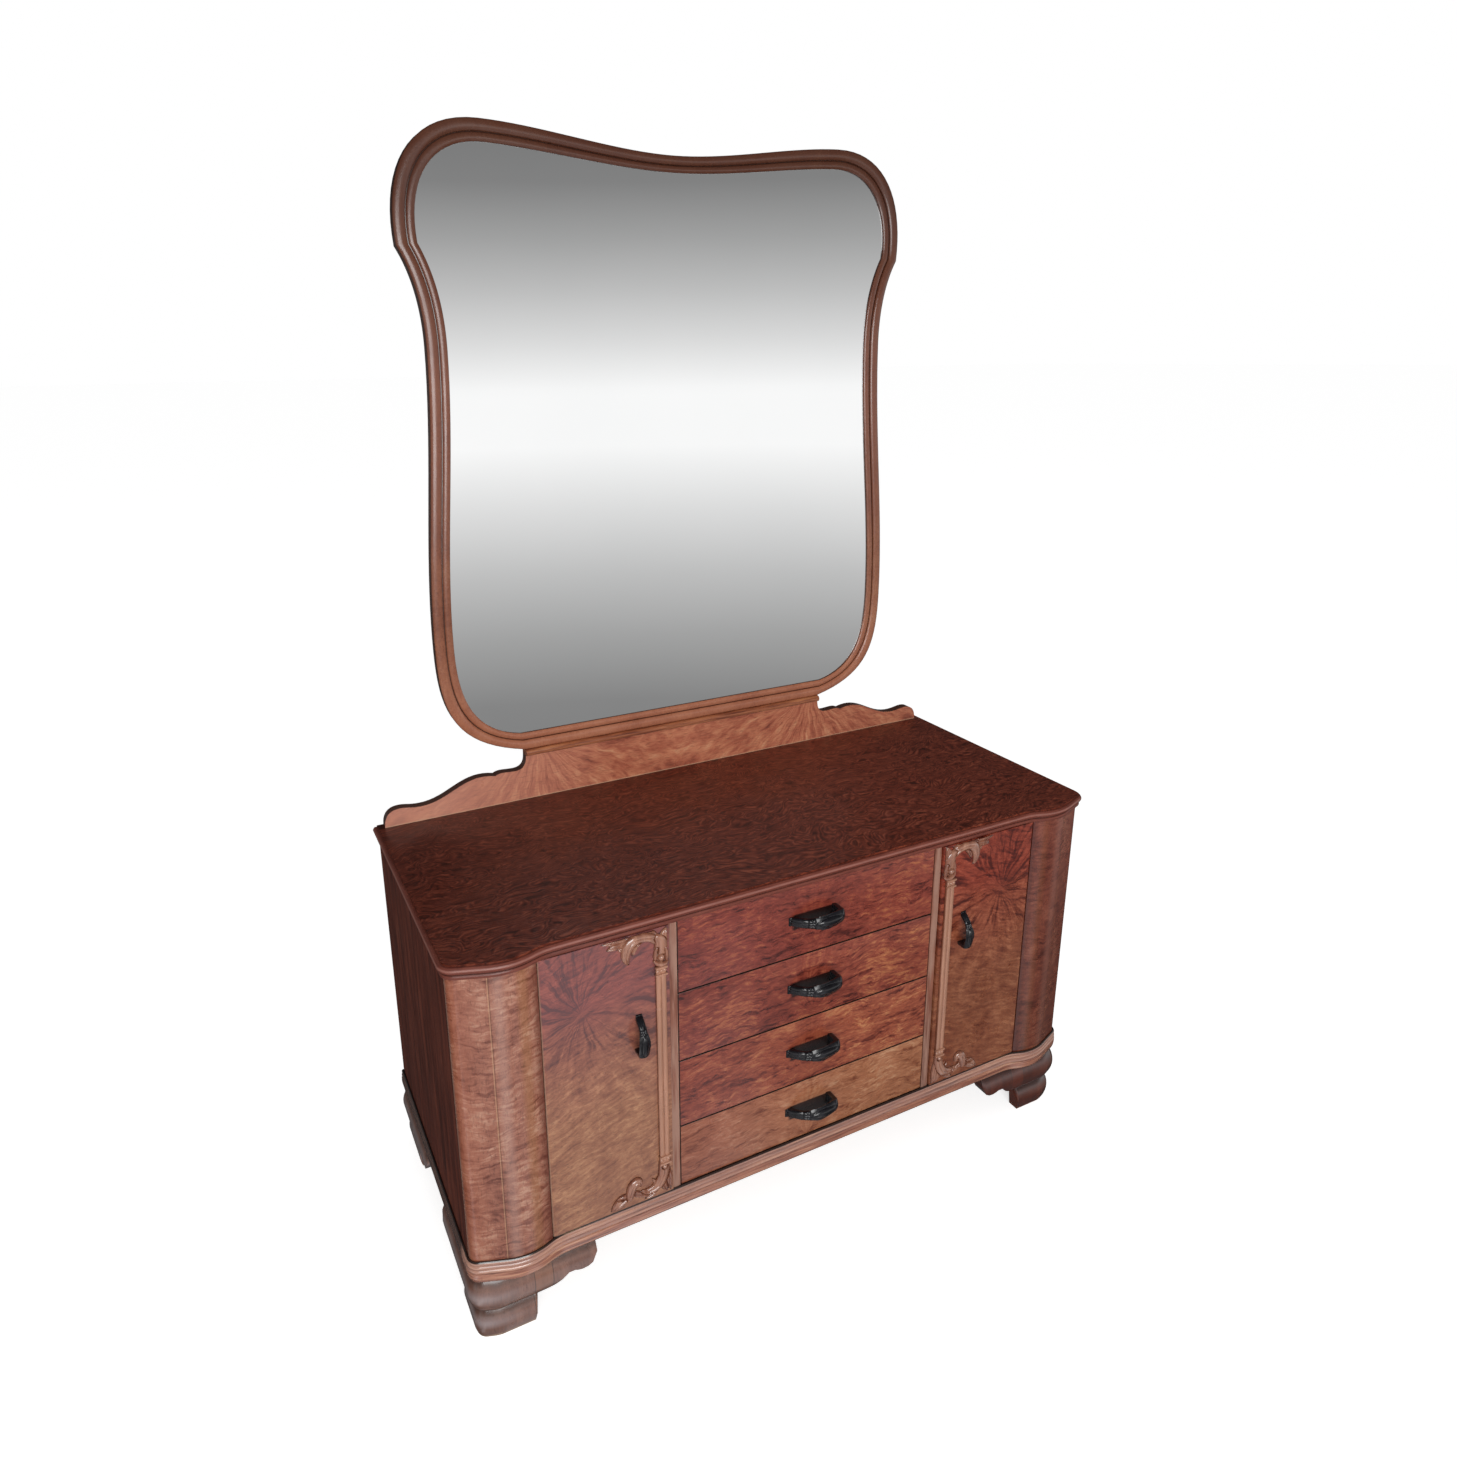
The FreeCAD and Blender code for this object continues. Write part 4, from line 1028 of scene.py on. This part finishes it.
def pull_shape(length, width, standoff, lengths=120, widths=36):
    """Points and faces of a pull along X on the plane Y = 0, facing -Y: a fan, beads and a leaf on a leg."""
    end = length / 2
    bow_rise = pull_crest_share * standoff
    hollow = ((1 - pull_foot) * end, 0.55 * standoff), (0, bow_rise - width * 0.3), ((pull_foot - 1) * end, 0)
    bow = (-end, 0), (0, bow_rise), (pull_tip * end, 0.9 * standoff)
    stations = [(-1 + 2 * i / lengths, False) for i in range(lengths + 1)]
    stations += [(1 - pull_foot, False), (1 - pull_foot, True), (pull_foot - 1, False)]
    points = []
    for t, leg in sorted(stations):
        half = width / 2 * pull_half_width(t)
        x = end * t
        back = 0.0
        if pull_foot - 1 <= t <= 1 - pull_foot and not leg:
            back = max(arc_height(x, *hollow), 0)
        crest = arc_height(x, *bow)
        if t > pull_tip:
            crest = standoff * (0.5 + 0.4 * math.sqrt(max(1 - ((t - pull_tip) / (1 - pull_tip)) ** 2, 0)))
        crest = max(crest, 2.6 * mm)
        for j in range(widths + 1):
            s = -1 + 2 * j / widths
            scallop = 0.06 * (1 - abs(math.cos(1.5 * math.pi * s))) * max(0.0, (-t - 0.9) / 0.1)
            front = max(crest - pull_relief(t, s) * half, back + 1.4 * mm)
            points.append((x + scallop * end, -front, s * half))
        for s in (1, -1):
            points.append((x, -back, s * half * 0.96))
    return points, skin(len(stations), widths + 3)


points, faces = pull_shape(*drawer_pull_size)
for drawer in drawers:
    name = drawer + "_drawer_pull"
    low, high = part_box(name)
    moved = [(x, y + high.y, z + (low.z + high.z) / 2) for x, y, z in points]
    make_piece(name, moved, faces, pull_dark, drawer + "_drawer", "dark_pull", (name,), sharp=50)
points, faces = pull_shape(*door_pull_size)
for side, mirror in sides:
    name = side + "_door_pull"
    low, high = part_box(name)
    moved = [((low.x + high.x) / 2 + mirror * z, y + high.y, (low.z + high.z) / 2 - x) for x, y, z in points]
    make_piece(name, moved, faces, pull_dark, side + "_door", "dark_pull", (name,), sharp=50)

# Door fittings: dull brass pivots, with a drilled plate in each door's ends and a pin plate above and below.
# Each door closes against a small beech catch under the top.
brass, tree, shader = new_material("dull_brass")
tarnish = cloud(tree, own_place(tree), (120, 120, 120), 4.0)
feed(tree, shader, {
    "Base Color": tone(tree, tarnish, "#8a6a35", "#b8934f"),
    "Roughness": span(tree, tarnish, 0.3, 0.7, 0.25, 0.5),
    "Metallic": 1.0,
})
dress(brass, "left_pivot_pins", "right_pivot_pins", "left_pivot_plates", "right_pivot_plates")
dress(beech, "door_catches")

# Gallery: a shaped board on the back of the top, faced with matched walnut, with a rounded rest on it.
# The figure fans out from a knot at each side, and the sawn top edge is dark.
gallery_low, gallery_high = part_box("gallery_board")
gallery_knot_run = 315 * mm
gallery_knot_rise = 30 * mm


def gallery_figure(tree, place):
    """Streaks and ripples that fan out from a knot above each side."""
    x, y, z = split(tree, waver(tree, place, 14, 0.03))
    across = calc(tree, "SUBTRACT", calc(tree, "ABSOLUTE", x), gallery_knot_run)
    up = calc(tree, "SUBTRACT", z, gallery_high.z + gallery_knot_rise)
    fan = calc(tree, "ARCTAN2", up, across)
    reach = distance(tree, across, up)
    streak = cloud(tree, join(tree, fan, reach, 0.0), (9, 14, 1), 4.0, 0.6)
    ripple = cloud(tree, join(tree, fan, reach, 3.0), (30, 40, 1))
    return span(tree, blend(tree, 0.35, streak, ripple), 0.32, 0.68)


def gallery_tint(tree, place, shade):
    """Pinker to the left, rubbed where it stands on the top, and dark along the sawn edges."""
    x, y, z = split(tree, place)
    pink = span(tree, x, -0.15, -0.5, 0.0, 0.55)
    shade = tone(tree, pink, shade, "#d89c88")
    rest_edge = span(tree, z, gallery_low.z, gallery_low.z + 2.2 * mm, 0.85, 0)
    shade = tone(tree, rest_edge, shade, "#d0a98a")
    behind = span(tree, y, gallery_low.y + 0.5 * mm, gallery_low.y + 2 * mm, 0, 0.9)
    return tone(tree, behind, shade, "#2e1a15")


gallery_finish = veneer("gallery_veneer", ("#7a3826", "#b06248", "#cc8260", "#dca07a"), gallery_figure,
                        (60, 60, 500), gallery_tint, (0.0, 0.35, 0.7, 1.0), roughness=0.3, polish=0.4)
rest_finish = veneer("rest_wood", ("#6c3424", "#a4603e", "#bc7a52"), lengthwise_figure, (40, 400, 700),
                     roughness=0.3, polish=0.35)
dress(gallery_finish, "gallery_board")
dress(rest_finish, "mirror_rest")

# Mirror frame: shaped walnut sawn in lengths, joined, and moulded all round: a wide round outside, a groove,
# and a narrow round against the glass. It stands on the rest, held by two battens at the back.
frame_outer = (
    ((0, 0), (111, 0), (222, 0), (334, 0)),
    ((334, 0), (466, 30), (487, 96), (489, 210)),
    ((489, 210), (492, 388), (461, 562), (461, 740)),
    ((461, 740), (461, 793), (470, 851), (497, 897)),
    ((497, 897), (509, 1010), (463, 1096), (350, 1093)),
    ((350, 1093), (237, 1090), (117, 1060), (0, 1060)),
)
frame_sight = (
    ((0, 34), (113, 34), (227, 34), (340, 34)),
    ((340, 34), (441, 53), (454, 138), (455, 222)),
    ((455, 222), (457, 393), (426, 565), (426, 736)),
    ((426, 736), (426, 793), (435, 851), (462, 902)),
    ((462, 902), (472, 995), (430, 1062), (340, 1058)),
    ((340, 1058), (228, 1053), (116, 1032), (0, 1032)),
)
mirror_low, mirror_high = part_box("mirror_frame")
glass_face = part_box("mirror_glass")[0].y
frame_face = mirror_low.y


def bezier(handles, t):
    """A place at a share of the way along a curve with four handles."""
    a, b, c, d = (Vector(point) for point in handles)
    return a * (1 - t) ** 3 + b * 3 * t * (1 - t) ** 2 + c * 3 * t * t * (1 - t) + d * t ** 3


def frame_loop(bends=18):
    """Pairs of places round the frame, on its sight edge and its outer edge."""
    right = []
    for inner, outer in zip(frame_sight, frame_outer):
        for step in range(bends):
            right.append((bezier(inner, step / bends), bezier(outer, step / bends)))
    right.append((bezier(frame_sight[-1], 1), bezier(frame_outer[-1], 1)))
    left = [(Vector((-a.x, a.y)), Vector((-b.x, b.y))) for a, b in reversed(right[1:-1])]
    return right + left


def frame_section():
    """The frame's section: shares from the sight edge to the outer edge, and depths."""
    section = [(0.24, mirror_high.y), (0.24, glass_face), (0, glass_face)]
    for step in range(9):
        angle = math.pi * step / 8
        section.append((0.2 - 0.2 * math.cos(angle), frame_face + (5.2 - 3.4 * math.sin(angle)) * mm))
    for step in range(15):
        angle = math.pi * step / 14
        swell = math.sin(angle) ** 0.8
        section.append((0.72 - 0.28 * math.cos(angle), frame_face + (5.5 - 5.5 * swell) * mm))
    section.append((1, mirror_high.y))
    return section


def frame_grain(tree, place):
    """Broad soft grain with fine flecks."""
    bent = waver(tree, place, 10, 0.03)
    wide = cloud(tree, bent, (16, 16, 12), 4.0, 0.6)
    fine = cloud(tree, bent, (220, 220, 160))
    return span(tree, blend(tree, 0.3, wide, fine), 0.32, 0.68)


def frame_tint(tree, place, shade):
    """Darker towards the top and ruddy at its foot, partly the wood's own colour and partly painted shade and
    light. Dirt and painted shade darken the groove.
    """
    x, y, z = split(tree, place)
    # Partly painted light: ruddier at the foot.
    foot = span(tree, z, mirror_low.z + 60 * mm, mirror_low.z + 250 * mm, 0.45, 0)
    shade = tone(tree, foot, shade, "#bc7458")
    # Partly painted shade: darker towards the top, in two steps.
    rise = span(tree, z, mirror_low.z + 20 * mm, mirror_low.z + 500 * mm, 0, 0.75)
    shade = tone(tree, rise, shade, "#703c2a")
    upper = span(tree, z, mirror_low.z + 650 * mm, mirror_low.z + 1000 * mm, 0, 0.65)
    shade = tone(tree, upper, shade, "#3a2016")
    # Dirt and painted shade in the groove.
    dirt_and_shade = span(tree, y, frame_face + 3.8 * mm, frame_face + 5.2 * mm, 0, 0.85)
    return tone(tree, dirt_and_shade, shade, "#33190f")


frame_finish = veneer("frame_walnut", ("#7a4632", "#a4694b", "#bb8462"), frame_grain, (300, 300, 300),
                      frame_tint, roughness=0.26, polish=0.3)
section = frame_section()
points = []
loop = frame_loop()
for inner, outer in loop:
    for share, depth in section:
        spot = inner.lerp(outer, share)
        points.append((spot.x * mm, depth, mirror_low.z + spot.y * mm))
faces = []
ring = len(section)
for i in range(len(loop)):
    for j in range(ring):
        a = i * ring + j
        b = i * ring + (j + 1) % ring
        c = (i + 1) % len(loop) * ring
        faces.append((a, b, c + (j + 1) % ring, c + j))
make_piece("mirror_frame", points, faces, frame_finish, "carcass", "walnut", ("mirror_frame",), sharp=32)
dress(thin_board, "mirror_backing")
batten_wood = veneer("batten_wood", plain_tones, upright_figure, (500, 500, 30), roughness=0.55, polish=0.0)
dress(batten_wood, "mirror_battens")

# Mirror glass: flat plate glass, silvered on its back, with a faint haze.
# It lies in the frame's rebate, held there by the backing board.
glass, tree, shader = new_material("silvered_glass")
haze = cloud(tree, own_place(tree), (3, 3, 3))
feed(tree, shader, {
    "Base Color": tone(tree, haze, "#fbfbfb", "#f4f5f5"),
    "Roughness": span(tree, haze, 0.3, 0.7, 0.008, 0.02),
    "Metallic": 1.0,
})
dress(glass, "mirror_glass")

# Studio: a pale floor, a soft even surround and one large soft lamp at the front.
# A grey card on the top, which only the glass sees, carries the surround's grey to the foot of the glass.
floor_reach = 80
eye = Vector((-0.8615, -1.5015, 1.5169))


def sheet(name, x0, x1, y0, y1, z, finish):
    """A level sheet of the studio."""
    mesh = bpy.data.meshes.new(name)
    mesh.from_pydata([(x0, y0, z), (x1, y0, z), (x1, y1, z), (x0, y1, z)], [], [(0, 1, 2, 3)])
    mesh.materials.append(finish)
    made = bpy.data.objects.new(name, mesh)
    bpy.context.scene.collection.objects.link(made)
    return made


def see_through(tree, share, surface):
    """Let a share of the light through a surface."""
    clear = wire(tree, "ShaderNodeBsdfTransparent")
    mixed = wire(tree, "ShaderNodeMixShader", {0: share, 1: surface, 2: clear.outputs[0]})
    tree.links.new(mixed.outputs[0], tree.nodes["Material Output"].inputs[0])


def surround_grey(tree, height):
    """The surround's grey by how far a direction points up: a white band at eye level, greyer beyond it."""
    ramp = wire(tree, "ShaderNodeValToRGB", {0: span(tree, height, -1, 1)})
    greys = [(0.0, "#303030"), (0.25, "#383838"), (0.32, "#858585"), (0.64, "#6a6a6a"), (1.0, "#505050")]
    for step in range(5):
        rise = step / 4
        grey_below = "#" + "%02x" % round(137 + 118 * rise) * 3
        grey_above = "#" + "%02x" % round(133 + 122 * rise) * 3
        greys += [(0.336 + 0.121 * rise, grey_below), (0.574 - 0.091 * rise, grey_above)]
    stops = ramp.color_ramp.elements
    for share, shade in sorted(greys):
        stop = stops[0] if share == 0 else stops[-1] if share == 1 else stops.new(share)
        stop.color = colour(shade)
    return ramp.outputs[0]


pale, tree, shader = new_material("pale_floor")
rays = wire(tree, "ShaderNodeLightPath").outputs
feed(tree, shader, {
    "Base Color": (0.8, 0.8, 0.8, 1),
    "Roughness": 0.9,
    "Emission Color": (1, 1, 1, 1),
    "Emission Strength": times(tree, rays["Is Camera Ray"], 0.68),
})
see_through(tree, rays["Is Glossy Ray"], shader.outputs[0])
floor = sheet("floor", -floor_reach, floor_reach, -floor_reach, floor_reach, 0, pale)

grey, tree = new_material("grey_card")[:2]
seen = wire(tree, "ShaderNodeNewGeometry").outputs
mirrored_eye = (eye.x, 2 * glass_face - eye.y, eye.z)
sight = vector(tree, "NORMALIZE", vector(tree, "SUBTRACT", seen["Position"], mirrored_eye))
lit = wire(tree, "ShaderNodeEmission", {"Color": surround_grey(tree, split(tree, sight)[2]), "Strength": 1.0})
see_through(tree, seen["Backfacing"], lit.outputs[0])
card_edge = half_width + 15 * mm
card_front = front_plane - 60 * mm
card_level = top_upper + 1 * mm
card = sheet("grey_card", -card_edge, card_edge, card_front, gallery_low.y, card_level, grey)
card.visible_camera = False
card.visible_diffuse = False
card.visible_shadow = False
card.visible_transmission = False

world = bpy.data.worlds.new("studio")
bpy.context.scene.world = world
world.use_nodes = True
tree = world.node_tree
rays = wire(tree, "ShaderNodeLightPath").outputs
x, y, z = split(tree, wire(tree, "ShaderNodeTexCoord").outputs["Generated"])
patch = times(tree, span(tree, x, 0.06, 0.14), span(tree, x, 0.31, 0.37, 0.6, 0))
side_patch = times(tree, span(tree, x, -0.62, -0.52), span(tree, x, -0.42, -0.32, 1, 0))
patches = calc(tree, "MAXIMUM", calc(tree, "MAXIMUM", patch, side_patch), span(tree, x, 0.3, 0.5, 0.3, 0.05))
low_front = times(tree, span(tree, z, -0.36, -0.42), patches)
surround = tone(tree, low_front, surround_grey(tree, z), (0.95, 0.96, 1.0, 1))
surround = tone(tree, span(tree, y, -0.2, 0.1, 0, 0.9), surround, (0.02, 0.02, 0.02, 1))
even = (0.42, 0.42, 0.42, 1)
shown = tone(tree, rays["Is Glossy Ray"], even, surround)
shown = tone(tree, rays["Is Camera Ray"], shown, (1, 1, 1, 1))
tree.links.new(shown, tree.nodes["Background"].inputs[0])

lamp = bpy.data.lights.new("key_lamp", "AREA")
lamp.shape = "RECTANGLE"
lamp.size = 2.0
lamp.size_y = 1.4
lamp.energy = 62
key = bpy.data.objects.new("key_lamp", lamp)
key.location = (-0.95, -2.9, 1.5)
key.rotation_euler = (Vector((0, 0, 0.7)) - key.location).to_track_quat("-Z", "Y").to_euler()
bpy.context.scene.collection.objects.link(key)

# Camera at the photograph's place, about one and a half metres up and to the left of the middle.
# It looks a little down, and its picture is shifted as the photograph is.
yaw = math.radians(26.2442)
pitch = math.radians(16.2623)
roll = math.radians(-0.7954)
view = Vector((math.sin(yaw) * math.cos(pitch), math.cos(yaw) * math.cos(pitch), -math.sin(pitch)))
level_right = Vector((math.cos(yaw), -math.sin(yaw), 0))
level_up = level_right.cross(view)
right = level_right * math.cos(roll) + level_up * math.sin(roll)
up = right.cross(view)
camera = bpy.data.objects.new("camera", bpy.data.cameras.new("camera"))
camera.matrix_world = Matrix.Translation(eye) @ Matrix((right, up, -view)).transposed().to_4x4()
camera.data.sensor_width = 36
camera.data.lens = 24.916
camera.data.shift_x = 0.0329
camera.data.shift_y = -0.0558
bpy.context.scene.collection.objects.link(camera)
bpy.context.scene.camera = camera
bpy.context.scene.view_settings.view_transform = "Standard"
